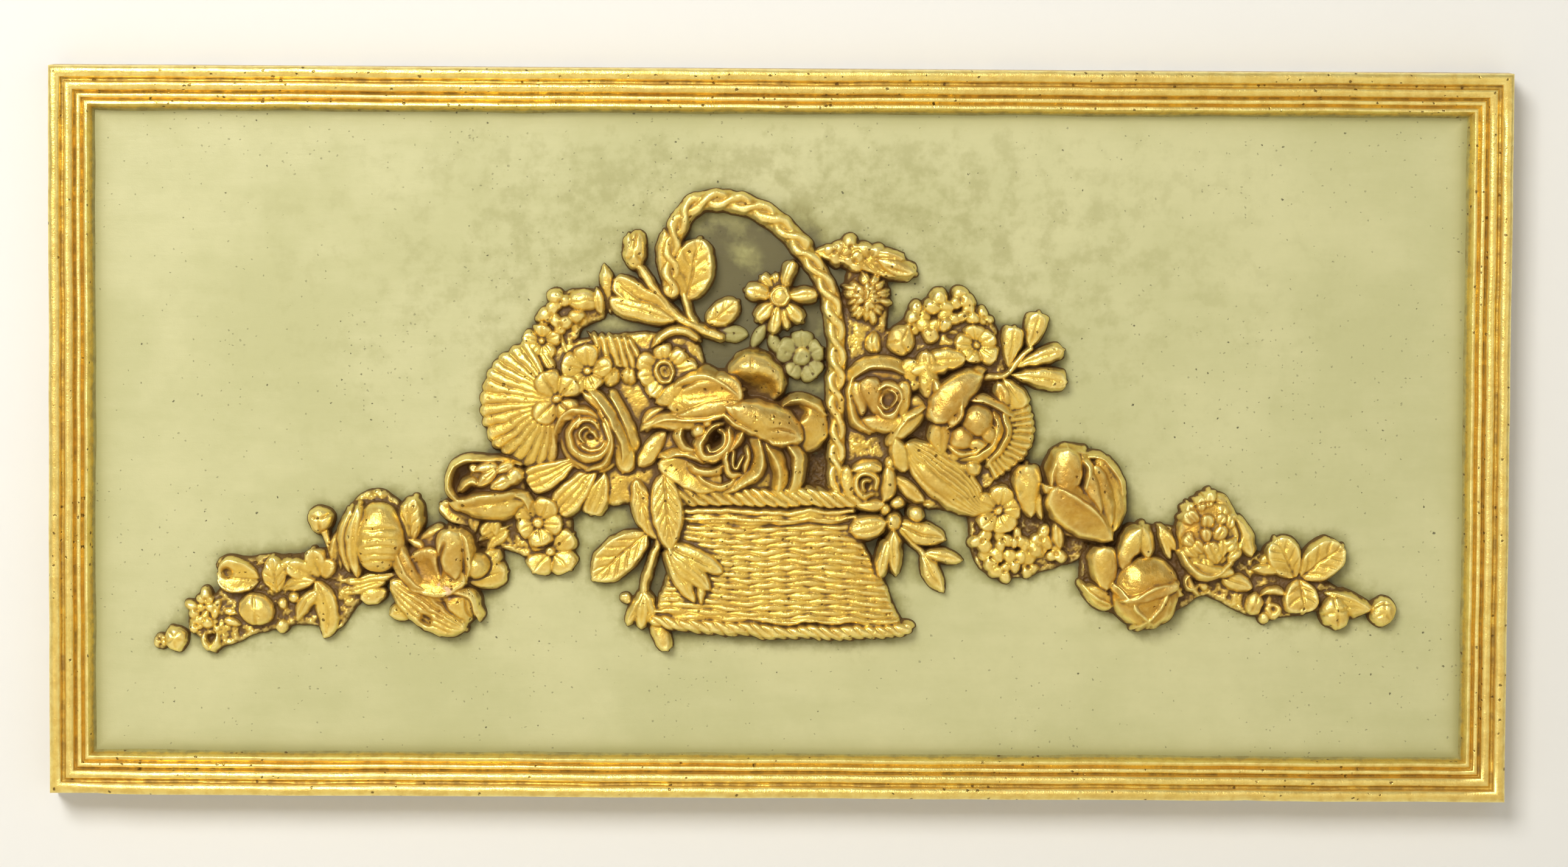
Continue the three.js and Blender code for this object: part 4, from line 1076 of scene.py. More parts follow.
@dataclass
class BasketAndFlowers(ReliefGroup):
    """The basket with its rope handle, the rose that leans over it and the flowers inside the handle."""

    top: float = -30.5
    foot: float = -78.5
    rope_pitch: float = 4.7

    def carvings(self) -> list[Carving]:
        """Returns the carvings of the basket and of what stands in it."""
        return [*self.handle(), *self.basket(), *self.above(), *self.central_rose(), *self.left_sprig()]

    def handle(self) -> list[Carving]:
        """Returns the twisted handle."""
        route = [(23.5, -22), (23.6, 10), (23.4, 40), (18.5, 63), (6, 82), (-8, 92.5), (-24, 97), (-37, 94)]
        route += [(-44, 82), (-45, 60)]
        return [Twist(route)]

    def basket(self) -> list[Carving]:
        """Returns the wicker side, the mouldings and the two ropes."""
        left = [(-41, self.top + 2), (-42.5, -42), (-45.5, -55), (-49, -66), (-52.5, self.foot)]
        right = [(30, self.top + 2), (34, -42), (39.5, -54), (44.5, -62), (47.5, -70), (52.5, self.foot)]
        rim = [(-44, -25.5, 10.2), (-20, -25.8, 10.2), (6, -25.8, 10.2), (33, -26, 9.6)]
        base = [(-51, -77.5, 8.4), (-30, -79.5, 9.4), (0, -81.4, 9.6), (25, -81.6, 9.4), (53, -80, 8.4)]
        return [
            Wicker(left, right, self.top, self.foot, 4.4, 8.2),
            Stem([(-40, -31.2, 8.4), (-5, -32.0, 9.4), (31, -31.4, 8.2)], 2.2),
            Stem([(-41, -34.3, 8.0), (-5, -35.2, 9.2), (32, -34.6, 7.8)], 1.8),
            Groove([(-41, -36.4), (-5, -37.4), (33, -36.8)], 0.6, 0.8, blunt_ends=True),
            Stem([(-51, -73.6, 6.6), (-30, -75.4, 8.2), (0, -77.2, 8.8), (25, -77.4, 8.6), (50, -76.6, 6.6)], 1.6),
            Cord(rim, 7.6, self.rope_pitch, lean=42),
            Cord(base, 4.8, self.rope_pitch, lean=40, depth=1.0),
        ]

    def above(self) -> list[Carving]:
        """Returns the buds and leaves left of the handle and the flowers inside it."""
        daisy = [(4, 15, 5.6, 7.5), (68, 16, 5, 6.5), (104, 10, 4.6, 4), (136, 12, 4.6, 4.5), (168, 14.5, 5.6, 7)]
        daisy += [(224, 14.5, 6, 7), (259, 15.5, 5, 7), (284, 14, 4.2, 6), (312, 14, 5.2, 6.5)]
        made: list[Carving] = [
            leaf(-30, 46, 16.5, 9.5, 38, 5, 6, vein=0.6, veins=3),
            leaf(-27, 43, 14, 7, -8, 2.5, 2.5, green=1, vein=0.4),
            petal(-44, 49, 29, 9, 151, 7, 6, cup=0.8, vein=0.7, lip=0.4),
            petal(-43, 47.5, 29, 8.5, 165, 8, 7, cup=-0.6, vein=0.5),
            leaf(-71, 50, 20, 5, 96, 3, 5),
            dome(-60, 76, 4.6, 8.3, 8.5, seams=3, seam_turn=90, seam_depth=0.9),
            leaf(-60, 69, 14, 4, 104, 6, 8),
            Stem([(-58, 69, 7), (-50, 57, 7.4), (-42, 49, 7.6), (-34, 44.5, 7.6), (-25, 41, 6.6)], 3.4),
            leaf(-44, 56, 29, 8, 99, 5, 7, vein=0.4),
            leaf(-38.5, 56.5, 25.5, 16, 78, 5.5, 7.4, cup=0.9, vein=0.7, veins=3),
            Stem([(-39, 58, 6.4), (-37, 50, 6.6), (-34, 45, 7)], 2.6),
            bead(9, 33, 4, 5.5, green=0.5),
            *blossom(9, 32.5, 10, 5, 20, 5.5, 4, green=0.8),
            petal(-12, 35, 13, 5, 62, 3, 3.4, green=0.8),
            petal(-4, 44, 12, 5, -70, 3, 3.4, green=0.8),
        ]
        for turn, reach, width, rise in daisy:
            root = outward(0, 57.5, turn, 2.4, 2.4)
            made.append(petal(*root, reach - 2.4, width, turn, rise - 0.4, rise + 0.4, cup=-0.5, grooves=2))
        made += [
            dome(0, 57.5, 5, 5, 9.5),
            Fold(arc(0, 57.5, 3.6, 3.6, 0, 0, 350, 9.6), 1.5, 1.5, 0.5, taper=0),
            dome(-10.5, 22.5, 12, 12, 15.6, crown=0.45),
            Hollow(-11.5, 17.5, 10.5, 7.5, 10, -14),
            Groove([(-12, 34), (-11.4, 30), (-11.6, 26)], 0.6, 0.35),
            dome(9.5, 4, 10.6, 11.4, 11, crown=0.5),
            Fold([(1, 11.6, 11), (6, 14.6, 11.6), (12, 14.4, 11.6), (17.6, 10.4, 10.8)], 3, 0.9, 3, 0.26),
            Hollow(6.4, 9, 4.6, 3, 4.4, 14),
        ]
        return made

    def central_rose(self) -> list[Carving]:
        """Returns the large rose that leans over the basket's front."""
        return [
            # A low web fills the deep gap between the rose and the handle, so that the low-place darkening paints it
            # near black: painted shade in the gap.
            Web([(4, 8), (20, 8), (20, -22), (2, -24)], 0.6, crown=0.3),
            dome(-19, -6, 29, 18.5, 9.6, crown=0.3),
            petal(-57, 4, 38, 9, 10, 10, 15),
            petal(-50, -12, 27, 13, -18, 9.6, 10.6, cup=0.5),
            petal(-46, -19, 30, 9, -8, 8.6, 9.6, cup=-1.6),
            Hollow(-28, -3, 14, 9.5, 4, 45),
            Fold([(-47, -9.6, 11.4), (-41, -8.2, 12.4), (-36, -9, 12.6), (-31, -12, 12)], 0.8, 2.6, 3.4, 0.25),
            dome(-33.6, 2.6, 4, 3.4, 14.4, 60, crown=0.4),
            dome(-29.6, 6, 3.4, 2.6, 14.6, 20, crown=0.4),
            Fold([(-40, 4, 13), (-40.8, -0.5, 13.6), (-39, -4.4, 13.4), (-35, -6.6, 12.8)], 3.2, 0.8, 3, 0.25),
            Fold([(-36.5, -12, 12.6), (-33, -14.6, 13.4), (-28, -15, 13.4), (-23.6, -12.4, 12.6)], 3.2, 0.9, 3, 0.25),
            Fold([(-34, -16.4, 12.2), (-29, -20, 12.8), (-23, -20.6, 12.8), (-17, -17.8, 12.2)], 3.2, 0.9, 2.6, 0.25),
            Fold(arc(-26.6, -2, 7.6, 4.9, 45, 95, 345, 14.4), 3.2, 0.9, 3.2, 0.25, taper=1.4),
            Fold(arc(-26.2, -2.4, 4.8, 2.8, 45, 150, 390, 13.6), 2.4, 1.6, 1.2, 0.2, taper=1.2),
            Fold([(-31.5, 0.4, 13.6), (-27.6, 3.4, 14), (-23, 4.4, 13.6)], 1.2, 2.8, 2, 0.25),
            Hollow(-25.6, -0.6, 3.4, 1.5, 2.6, 45),
            Fold([(-14, 2.6, 13.8), (-16, -1.6, 14), (-21, -7, 13.4)], 2.8, 1.2, 2.4, 0.25),
            Fold([(-21.4, -5, 13.8), (-21.9, -11, 14.2), (-19.8, -16, 14), (-16.6, -16.6, 13.6)], 3.2, 0.9, 2, 0.25),
            Fold([(-19.2, -7, 14), (-19.2, -12, 13.8), (-17.4, -14, 13.6), (-15.6, -9, 13.6)], 2.6, 1.6, 1, 0.2),
            Fold([(-14, -5.6, 14.4), (-13.4, -10, 14.2), (-14.6, -15.6, 13.6)], 1.4, 2.4, 1.6, 0.25),
            Fold([(-8, -2.4, 16), (-6.6, -9, 15.6), (-9.6, -17.6, 14.6), (-21.6, -23.8, 12.4)], 3.2, 0.75, 4.6, 0.25),
            Fold([(-5.6, -3, 14.6), (-1.2, -10, 14), (0.6, -16.4, 13), (-0.6, -24.4, 10.6)], 1.0, 1.1, 4, 0.25),
            Fold(
                [(3.4, -4.4, 14.2), (6.6, -8.6, 13.8), (7.2, -15, 13), (5.4, -21, 11.4), (3.4, -25, 9.6)],
                0.7, 3.0, 3.6, 0.3,
            ),
            petal(-46, 11.5, 32, 17, 14, 12, 15.6, cup=-0.4, arch=1.6),
            Hollow(-33, 18, 11, 2.6, 1.2, 6),
            Fold(
                [(-45, 19, 13.4), (-38, 23.8, 15), (-30, 24.8, 16.2), (-23, 21.6, 16.8), (-16, 16, 16.8)],
                3.2, 1.0, 3.4, 0.3,
            ),
            petal(-43, 8.6, 27, 8.6, 12, 13.6, 16.4, cup=-2.6, arch=1.4),
            Fold(
                [(-55, 2.5, 11.4), (-47, 6, 13.4), (-38, 6.6, 14.8), (-29, 7, 15.8), (-21, 8.6, 16.4)],
                0.8, 3.2, 3.4, 0.3,
            ),
            petal(-22, 12.6, 35, 14.6, -24, 17.6, 14, cup=-3, arch=2.4),
            Fold([(-23.6, 10, 16.2), (-18, 4.4, 16.8), (-12, 1.2, 16.6), (-6, 0.4, 16.2)], 0.8, 3.2, 4, 0.3),
            Groove([(-19, 14), (-18, 9), (-15.4, 4)], 0.7, 0.4),
            petal(-7, 0.6, 16, 7.6, -4, 15.4, 14.6, cup=-0.4),
            Fold([(-6.4, 0, 15.8), (-2, -3, 16.2), (3, -3.8, 16), (8, -1.6, 15.2)], 0.7, 3.2, 2.2, 0.25),
            Groove([(-5, 2.4), (1, 2.8), (7, 1)], 0.55, 0.8),
        ]

    def left_sprig(self) -> list[Carving]:
        """Returns the leaves, the rosebud and the hanging bud over the basket's left side."""
        return [
            leaf(-60, -19, 26, 9.5, -70, 7, 7, vein=0.6, veins=4),
            leaf(-47.5, -16, 32, 12, -85, 10, 10.4, vein=0.8, veins=7, cup=0.3),
            leaf(-55.5, -41, 29, 15, 222, 5, 5.4, cup=0.8, vein=0.8, veins=5),
            leaf(-45, -46, 24.5, 8.5, -27, 10, 10.6, vein=0.7),
            petal(-46, -47, 25, 9, -45, 10.6, 11.2, grooves=3, cup=-1.2, outline=Outline.LEAF),
            leaf(-47, -48, 25, 6.5, -60, 9.4, 10.4, vein=0.5),
            leaf(-33, -60, 10.5, 3.6, -82, 9.6, 10.4),
            Stem([(-50, -43, 6.4), (-54, -57, 6.4), (-56, -66, 6)], 2.8),
            leaf(-56, -65, 16, 5.4, 248, 6, 5, vein=0.4),
            leaf(-56, -65, 16, 5.8, 287, 6.4, 5.4, vein=0.4),
            leaf(-56, -66, 15, 6, 268, 6.8, 5.8, vein=0.4),
            bead(-63.5, -68.5, 2.7, 4),
            petal(-52.5, -76, 15.5, 7.4, -66, 4.4, 6.6, cup=-1.4),
        ]


@dataclass
class RightBouquet(ReliefGroup):
    """The bouquet right of the handle: a rose, a rosebud, a fan, sprigs and a striped leaf."""

    fan_ribs: int = 14

    def carvings(self) -> list[Carving]:
        """Returns the bouquet's carvings."""
        return [*self.upper_flowers(), *self.rosebud(), *self.rose(), *self.sprigs(), *self.hanging_sprig()]

    def upper_flowers(self) -> list[Carving]:
        """Returns the curled leaf, the fringed flower, the cluster and the small flower."""
        body = [(27, 66), (27, -22), (46, -26), (70, -30), (84, -24), (96, -6), (94, 20), (90, 44), (78, 56)]
        body += [(58, 54), (44, 44), (44, 64)]
        made: list[Carving] = [
            Web(body, 3.6),
            petal(15, 76, 41.5, 10, -13, 6, 7, sweep=-24, cup=0.7, vein=0.5, veins=7),
            *florets([(23, 76, 4.2, 8.2), (29.6, 78, 4, 8.4), (31, 72.4, 4.2, 8.4), (37, 75.6, 4.4, 8.6)], 19),
            petal(36, 76.6, 16, 5, -12, 7.6, 8.6, cup=-1, vein=0.4),
            petal(39, 73.4, 17.5, 8, -21, 8.4, 9.8, cup=-2),
            Groove([(43, 70.4), (48, 68.4), (54, 67)], 0.6, 0.9),
            dome(35, 57.5, 8.4, 11, 6.2),
        ]
        source = np.random.default_rng(5)
        for count, inner, long, rise in ((24, 1.0, 6.4, 8.6), (13, 0.25, 5.4, 10.2)):
            for i in range(count):
                turn = 90 + 360 * i / count + source.uniform(-8, 8)
                root = outward(35.4, 57.5, turn, 2.6 * inner, 4.6 * inner)
                lean, size = turn + source.uniform(-16, 16), long * source.uniform(0.8, 1.2)
                made.append(leaf(*root, size, 2.6, lean, rise, rise - 1.2, vein=0.3))
        made += [
            dome(35.8, 58.6, 2, 4, 11, -8, crown=0.5, seams=2),
            dome(39, 38.5, 3.7, 5, 7.5, seams=2, seam_turn=90),
            dome(50.5, 39.5, 6, 7, 9, seams=3, seam_turn=60),
            petal(62, 19, 16, 9, 93, 8, 10.4, grooves=3),
            petal(60, 33, 17, 8, -6, 9, 9.4, vein=0.5),
        ]
        lobes = [(57.6, 50, 4.6, 7.6), (65.6, 54.6, 4.8, 8.4), (69.4, 48.6, 4.6, 9), (74.6, 56.6, 4.6, 8)]
        lobes += [(78, 50.6, 4.4, 7.6), (62.4, 44.4, 4.8, 8.4), (54.6, 45, 3.6, 7), (84.6, 50, 3.4, 6.2)]
        made += [
            *florets(lobes, 12),
            dome(70.5, 40, 5.4, 5, 6),
            Hollow(71, 41, 2.2, 1.8, 1.8),
            *blossom(81.5, 38, 9, 5, 34, 9.2, 1.8),
        ]
        return made

    def rosebud(self) -> list[Carving]:
        """Returns the small rose beside the handle."""
        return [
            dome(41, 17, 13, 14, 9, crown=0.3),
            Fold([(30.4, 25, 10.4), (28.6, 14, 11), (31, 6, 11), (37, 2.4, 10.6)], 0.8, 2.8, 2.6, 0.26),
            Fold([(31, 24.6, 10.6), (37, 28.6, 11.8), (45, 28.4, 11.8), (52, 25.6, 10.4)], 0.8, 2.8, 4.4, 0.26),
            petal(41.5, 6, 19, 9.4, 106, 11, 13.4, cup=-1.6),
            petal(34, 8, 15, 7, 96, 10.6, 11.4, cup=-1.2),
            petal(34, 7, 19, 7.4, -2, 11.4, 12, sweep=30, cup=-1.4),
            petal(51, 6, 17, 7, 92, 11.6, 12.4, cup=-1.4),
            dome(44.6, 14.6, 6.2, 7, 12.8, crown=0.2),
            Fold(arc(44.6, 14.6, 5.6, 6.6, 0, -160, 160, 14), 2.8, 1.0, 1.8, 0.24, taper=1.2),
            Hollow(44.6, 14.6, 3.6, 4.4, 2.6),
            Fold(arc(45, 15.4, 3.2, 3.8, 0, -60, 100, 13.4), 2.8, 1.0, 1.4, 0.22, taper=1),
            Fold(arc(44, 14, 2.6, 3.4, 0, 130, 300, 13.2), 2.8, 1.2, 1.2, 0.22, taper=1),
            petal(54, 20, 12, 10, 80, 8, 9.4, cup=-1.4),
            petal(50, 14.6, 11.5, 5, -6, 8.6, 9, cup=-1.2),
            petal(51, 20, 9, 5, 10, 8.4, 8.8, cup=-1),
        ]

    def rose(self) -> list[Carving]:
        """Returns the open rose with its large curled petal, and the beads under it."""
        return [
            dome(78, 5, 15.5, 15.5, 9, crown=0.3),
            Fan(78, 3, -62, 38, (24, 25.4, 27, 27.6, 26.6), self.fan_ribs, 10, 6, depth=1.1, scallop=0.4),
            petal(90, 23, 12, 7, -70, 8.6, 8, vein=0.5),
            Hollow(84, 18, 7, 4.4, 3.4, -10),
            Fold([(78, 14.8, 12), (84, 14.4, 12.6), (90, 12, 12), (95, 9, 10.6)], 0.7, 2.8, 3, 0.26),
            Fold([(92.6, 9, 11.4), (94, 2, 11.4), (91.6, -5, 10.8), (86, -10.6, 10)], 0.9, 2.6, 2.4, 0.28),
            Fold([(88, 10, 12), (90, 4, 12.4), (88, -3, 12), (82, -8, 11.4), (75, -9.4, 10.8)], 1.0, 2.6, 3.2, 0.28),
            dome(81.5, 6.4, 7.6, 7.4, 15, crown=0.45),
            dome(86.5, 1.4, 4.6, 5.4, 13, crown=0.4),
            dome(75, -1, 6.2, 5.8, 13.6, crown=0.45),
            dome(81, -3.4, 4.6, 3.8, 12.6, crown=0.4),
            Fold([(70, -4.4, 12.6), (74, -7.4, 12.6), (80, -7, 12.2), (85, -3.4, 12)], 1.0, 2.4, 1.8, 0.28),
            leaf(66, 8, 16, 9.4, -86, 12, 9.4, vein=0.4, cup=-1.4),
            petal(71, 29.6, 17, 8, 190, 9.6, 10.4, cup=-1.6),
            petal(60.5, 31, 16, 9.4, -78, 10.4, 11, cup=-1.6),
            petal(83.4, 25.6, 28, 13.4, 226, 13, 16, sweep=38, cup=-2.6, arch=2.2),
            petal(64, 24, 21, 8.6, -70, 12.8, 15, sweep=-12, cup=-1.8),
            Fold([(82.4, 25, 13), (76.4, 19.6, 15), (74.8, 13, 16), (74, 8, 16), (70.4, 4, 15)], 3.0, 0.8, 3.6, 0.3),
            bead(72.5, -8, 3.6, 10.4),
            bead(79.5, -13, 3.8, 10.4),
            leaf(62, -12, 18, 3.4, -2, 8.4, 8.4),
            leaf(64, -8, 17, 3.4, -24, 8.6, 8.4),
        ]

    def sprigs(self) -> list[Carving]:
        """Returns the sprig to the right, the ribbon leaf and the striped leaf."""
        made: list[Carving] = [
            Stem([(84, 25, 7), (92, 25.5, 6.6), (96, 29, 6.4), (104, 36.5, 6)], 2.6),
            petal(94, 28, 17.5, 8, 80, 5, 7, vein=0.6, outline=Outline.SPOON),
            petal(103, 36, 16, 8, 74, 5, 7, vein=0.6, outline=Outline.SPOON),
            petal(97, 29, 22, 6, 20, 5.4, 6.4, vein=0.5, outline=Outline.SPOON),
            petal(95, 26, 24, 7.5, -6, 5.4, 7, vein=0.6, outline=Outline.SPOON),
            petal(92, 25, 15, 7.5, -55, 7, 7.8, vein=0.5, outline=Outline.SPOON),
            petal(61, 11, 18, 8.5, 217, 10, 12.6, sweep=25, cup=-1.2),
            Fold([(61, 12.5, 12), (55, 8.6, 13.4), (49, 3.4, 13.6), (46.4, -2, 12.6)], 3.12, 0.72, 2.5, 0.28),
            petal(47, 0, 16, 7.5, -70, 12, 9, cup=-1),
        ]
        made.append(leaf(52, -2.5, 45, 18, -41, 10.5, 7, cup=-1.6, arch=1.6, grooves=9, groove_depth=0.6))
        made.append(petal(55, -9, 27, 8.4, -43, 10, 8, cup=-2.4, arch=2))
        made += [leaf(47, -17, 17, 6.5, -36, 7, 6.4, grooves=2), dome(46, -12.5, 3.2, 4.6, 9, seams=2)]
        return made

    def hanging_sprig(self) -> list[Carving]:
        """Returns the small rose and the leaves over the basket's right side."""
        return [
            dome(36, -20.5, 8.8, 9, 8.2),
            petal(30, -27, 14.5, 6.6, 94, 8.6, 9.8, sweep=-34, cup=-1.5),
            petal(43, -28, 15.5, 6.4, 84, 8.4, 9.6, sweep=38, cup=-1.5),
            petal(30.4, -14, 12, 5.4, 2, 9.2, 9.2, sweep=-44, cup=-1.3),
            petal(31, -27.6, 12.5, 5, -4, 8.8, 8.8, sweep=36, cup=-1.2),
            Fold(arc(36, -20, 4.2, 5, 12, -30, 290, 11.4), 2.2, 0.9, 1.7, 0.3, taper=1.8),
            Hollow(36, -20, 1.6, 2, 1.6),
            Fold(arc(36.2, -20.6, 2, 2.4, 0, 60, 240, 11), 2.2, 1.2, 1.2, 0.24, taper=1),
            bead(49, -28, 3.2, 8.4),
            bead(56.5, -32, 3.4, 8.6),
            bead(47.5, -36, 3.8, 9.4),
            bead(43.5, -31, 3, 8.2),
            petal(44.5, -36, 16, 8.5, 196, 10, 10.6, grooves=3, outline=Outline.LEAF),
            leaf(47.5, -39, 19, 5.5, -87, 10, 7.4, vein=0.6),
            leaf(46, -43, 16, 5.5, -108, 9.5, 9, vein=0.6),
            leaf(50, -37, 20, 9.5, -19, 6, 5.8, vein=0.7, grooves=2),
            Stem([(50, -39, 6), (56, -45, 5), (61, -51, 4.6)], 2.8),
            leaf(60, -49, 17, 5.6, -9, 4.8, 5, vein=0.5),
            leaf(59, -50, 18, 7, -57, 4.8, 5.4, vein=0.6),
        ]


@dataclass
class RightGarland(ReliefGroup):
    """The garland from the right bouquet to the right tip, with a rosebud, a rose and a peony."""

    peony_rows: tuple[tuple[float, int, float, float], ...] = (
        (-32, 4, 8.0, 10.6),
        (-38, 5, 9.4, 11.4),
        (-44, 6, 9.6, 12.0),
        (-50, 5, 9.0, 11.6),
        (-54, 4, 7.0, 10.8),
    )

    def carvings(self) -> list[Carving]:
        """Returns the garland's carvings."""
        return [*self.inner_flowers(), *self.rosebud(), *self.rose(), *self.peony(), *self.tip()]

    def inner_flowers(self) -> list[Carving]:
        """Returns the webs, the small flower, the barrel petal and the lobes next to the bouquet."""
        inner = [(80, -26), (82, -52), (94, -59), (118, -54), (130, -46), (114, -34), (110, -14), (98, -14)]
        outer = [(126, -50), (128, -66), (140, -74), (166, -72), (178, -66), (196, -74), (212, -75), (226, -72)]
        outer += [(240, -75), (246, -68), (228, -59), (206, -50), (186, -44), (162, -37), (140, -38)]
        made: list[Carving] = [
            Web(inner, 2.4),
            Web(outer, 2.6),
            *blossom(91, -31, 10.4, 5, 6, 8.6, 2.4),
            bead(93, -22.5, 2.8, 7.8),
            petal(104.4, -33.5, 22, 11.5, 95, 9, 11.4, cup=-2.4),
            petal(109, -34, 15, 6, 104, 8, 9, cup=-1),
        ]
        lobes = [(85, -43.6, 4.4, 7.2), (88.6, -50.6, 4.6, 6.8), (93, -56, 4.2, 6.2), (98.6, -51, 4.6, 7.2)]
        lobes += [(104.4, -47, 4.6, 7.4), (109.4, -42, 4.4, 7.4), (115.4, -48.6, 4, 6.4), (104, -54, 3.6, 6)]
        lobes += [(92.6, -43.6, 4, 7.8), (99, -42.6, 3.6, 7.8)]
        made += [
            *florets(lobes, 14),
            leaf(117, -47, 12.5, 5, 98, 6, 7.4, vein=0.5),
            leaf(112, -46, 8.5, 4.4, 205, 5, 5.2),
            leaf(138, -43, 22, 5, 172, 6.5, 5.4, sweep=30),
        ]
        return made

    def rosebud(self) -> list[Carving]:
        """Returns the large rosebud."""
        return [
            dome(127, -24, 15, 18.5, 9.4, turn=20, crown=0.35),
            petal(139, -39, 32, 14, 103, 9, 10.6, sweep=26, cup=-2.6),
            petal(137, -37, 26, 10, 106, 11, 12.4, sweep=20, cup=-2.2),
            petal(133, -32, 19, 7, 108, 12.6, 13.4, sweep=14, cup=-1.8),
            Fold([(127, -7.6, 11.4), (134, -9, 12.2), (140, -15, 12), (142.6, -23, 11)], 0.9, 2.8, 1.6, 0.28),
            petal(119, -26, 21.5, 12.5, 89, 13.4, 13.6, cup=-2),
            Fold([(112.6, -22, 12.4), (112.8, -13, 12.8), (118, -5.8, 12), (126, -5.6, 11.2)], 3.12, 0.66, 3.4, 0.28),
            Fold([(125, -8.5, 13), (127.4, -14, 14.2), (127, -21, 14.6)], 0.66, 2.86, 2.5, 0.28),
            petal(138, -42, 32.5, 18, 141, 11.6, 14.6, cup=-2.4),
            Fold(
                [(112.6, -20.4, 14.4), (120, -23, 15.4), (128.6, -29, 15.2), (136, -37.6, 13.2)],
                3.64, 0.55, 3.7, 0.28,
            ),
        ]

    def rose(self) -> list[Carving]:
        """Returns the rose low in the garland with its rolled and pointed petals."""
        return [
            petal(136, -63, 18, 11.5, 96, 10, 12, cup=-1.8),
            petal(127, -62, 14, 9, -33, 9, 7.6),
            Fold([(126, -61.6, 10.4), (131, -66.6, 10.8), (137, -68.6, 10.4)], 1.6, 1.6, 1.4),
            leaf(142, -55, 19.5, 9, 65, 11, 12.4, sweep=-20, cup=-1.4),
            Hollow(149, -50.4, 2.6, 2.2, 5),
            leaf(153, -50, 14, 5.5, 100, 10, 11.4),
            dome(152, -64, 14.5, 15.5, 14.6),
            petal(141, -67, 25, 5.6, 16, 14.6, 14.4, sweep=30),
            Fold(
                [(140, -61, 13.4), (146, -66.6, 15.4), (154, -62.4, 16.2), (162, -60.4, 14.4), (166, -63, 12)],
                3.38, 0.6, 3.1, 0.28,
            ),
            Fold([(146, -67, 15.2), (149, -73, 14.6), (154, -78, 12.4)], 0.72, 2.8, 3.1, 0.28),
            Fold(
                [(161.6, -61.6, 14.6), (159.6, -68, 14.8), (155, -75, 13.6), (149.6, -79, 11.4)],
                2.8, 0.72, 3.1, 0.28,
            ),
            leaf(162, -64, 17, 5, -112, 13, 9, sweep=-15),
        ]

    def peony(self) -> list[Carving]:
        """Returns the full flower with rows of small scale-like petals."""
        made: list[Carving] = [
            leaf(166, -48, 15, 4.4, 128, 6, 5.4, vein=0.4),
            leaf(163, -51, 15, 4.4, 112, 6, 5.4, vein=0.4),
            dome(178, -40, 12.5, 16.5, 10, turn=-12, crown=0.35),
            petal(196, -49, 18.5, 9, 117, 8.4, 8.6, cup=-1, grooves=2),
        ]
        source = np.random.default_rng(17)
        for z, count, reach, rise in self.peony_rows:
            for k in range(count):
                t = (k + 0.5) / count * 2 - 1 + source.uniform(-0.13, 0.13)
                root = (178 - 0.14 * (z + 40) + t * reach, z + source.uniform(-2.2, 2.2))
                size, turn = source.uniform(0.75, 1.15, 2), 90 - 50 * t + source.uniform(-32, 32)
                tip = rise - 3 * abs(t) + source.uniform(-0.7, 0.6)
                made.append(petal(*root, 7.4 * size[0], 6 * size[1], turn, rise - 1.6, tip, cup=-0.7, vein=0.5))
        made += [
            Fold([(167, -48, 10.6), (172, -55, 11.6), (180, -57, 11.4), (187, -52, 10.6)], 1.6, 1.6, 1.8),
            Groove([(170, -30), (176, -26.5), (184, -28)], 0.6, 1),
            Groove([(188, -32), (190.6, -39), (190, -47)], 0.7, 1.6),
            petal(171, -52, 18, 5, -12, 10, 9, sweep=20),
            leaf(183, -57, 15, 6.6, -20, 6, 6.4, vein=0.6),
            Fold(arc(172, -60, 3, 2.6, 0, 60, 330, 7), 2.8, 0.96, 1.6, 0.28, taper=1.6),
            leaf(170, -54, 13, 3.4, -66, 5.4, 5.4, sweep=50),
            bead(177, -61, 2.8, 5.4),
        ]
        return made

    def tip(self) -> list[Carving]:
        """Returns the leaves, the cone bud and the berry at the garland's end."""
        return [
            dome(198, -69, 4, 5, 7.2, seams=2, seam_turn=60),
            petal(201, -66, 9, 3.4, 5, 6, 6.4, sweep=-120),
            bead(206, -72, 4, 5),
            Hollow(206, -72, 1.4, 1.4, 1.2),
            bead(202, -75, 2.6, 5),
            bead(202, -51, 2.8, 5.4),
            leaf(196, -55, 16, 4.4, 4, 5.4, 5.4),
            petal(214, -58, 17.5, 14.5, 116, 5, 6.6, cup=0.8, vein=0.7, veins=4),
            petal(217, -57, 21, 15, 36, 5, 6.6, cup=0.8, vein=0.8, veins=4),
            petal(216, -58, 15, 14, -83, 5, 7.4, cup=0.8, vein=0.8, veins=3),
            leaf(227, -64, 20, 5.4, -19, 5, 6.4, vein=0.5),
            dome(231.5, -72.5, 6.4, 7, 8.4, seams=4, seam_turn=100, seam_depth=0.7),
            leaf(232, -71, 15, 6, 4, 6, 5.6, vein=0.5),
            dome(251, -72.5, 5.6, 6.2, 7.8, seams=3, seam_turn=200, seam_depth=0.4),
            Groove([(246.6, -70), (250, -68.6), (254, -69.6)], 0.5, 0.7),
        ]


# Meshes of the relief


def mesh_from(name: str, points: np.ndarray, faces: np.ndarray) -> bpy.types.Object:
    """Makes an object from corner points and four-sided faces.

    Args:
        name: name of the object.
        points: rows of x, y and z in metres.
        faces: rows of four point numbers.

    Returns:
        The new object, in the scene.
    """
    mesh = bpy.data.meshes.new(name)
    mesh.vertices.add(len(points))
    mesh.vertices.foreach_set("co", points.astype(np.float32).ravel())
    mesh.loops.add(faces.size)
    mesh.loops.foreach_set("vertex_index", faces.astype(np.int32).ravel())
    mesh.polygons.add(len(faces))
    mesh.polygons.foreach_set("loop_start", np.arange(0, faces.size, 4, dtype=np.int32))
    mesh.update(calc_edges=True)
    made = bpy.data.objects.new(name, mesh)
    bpy.context.scene.collection.objects.link(made)
    return made


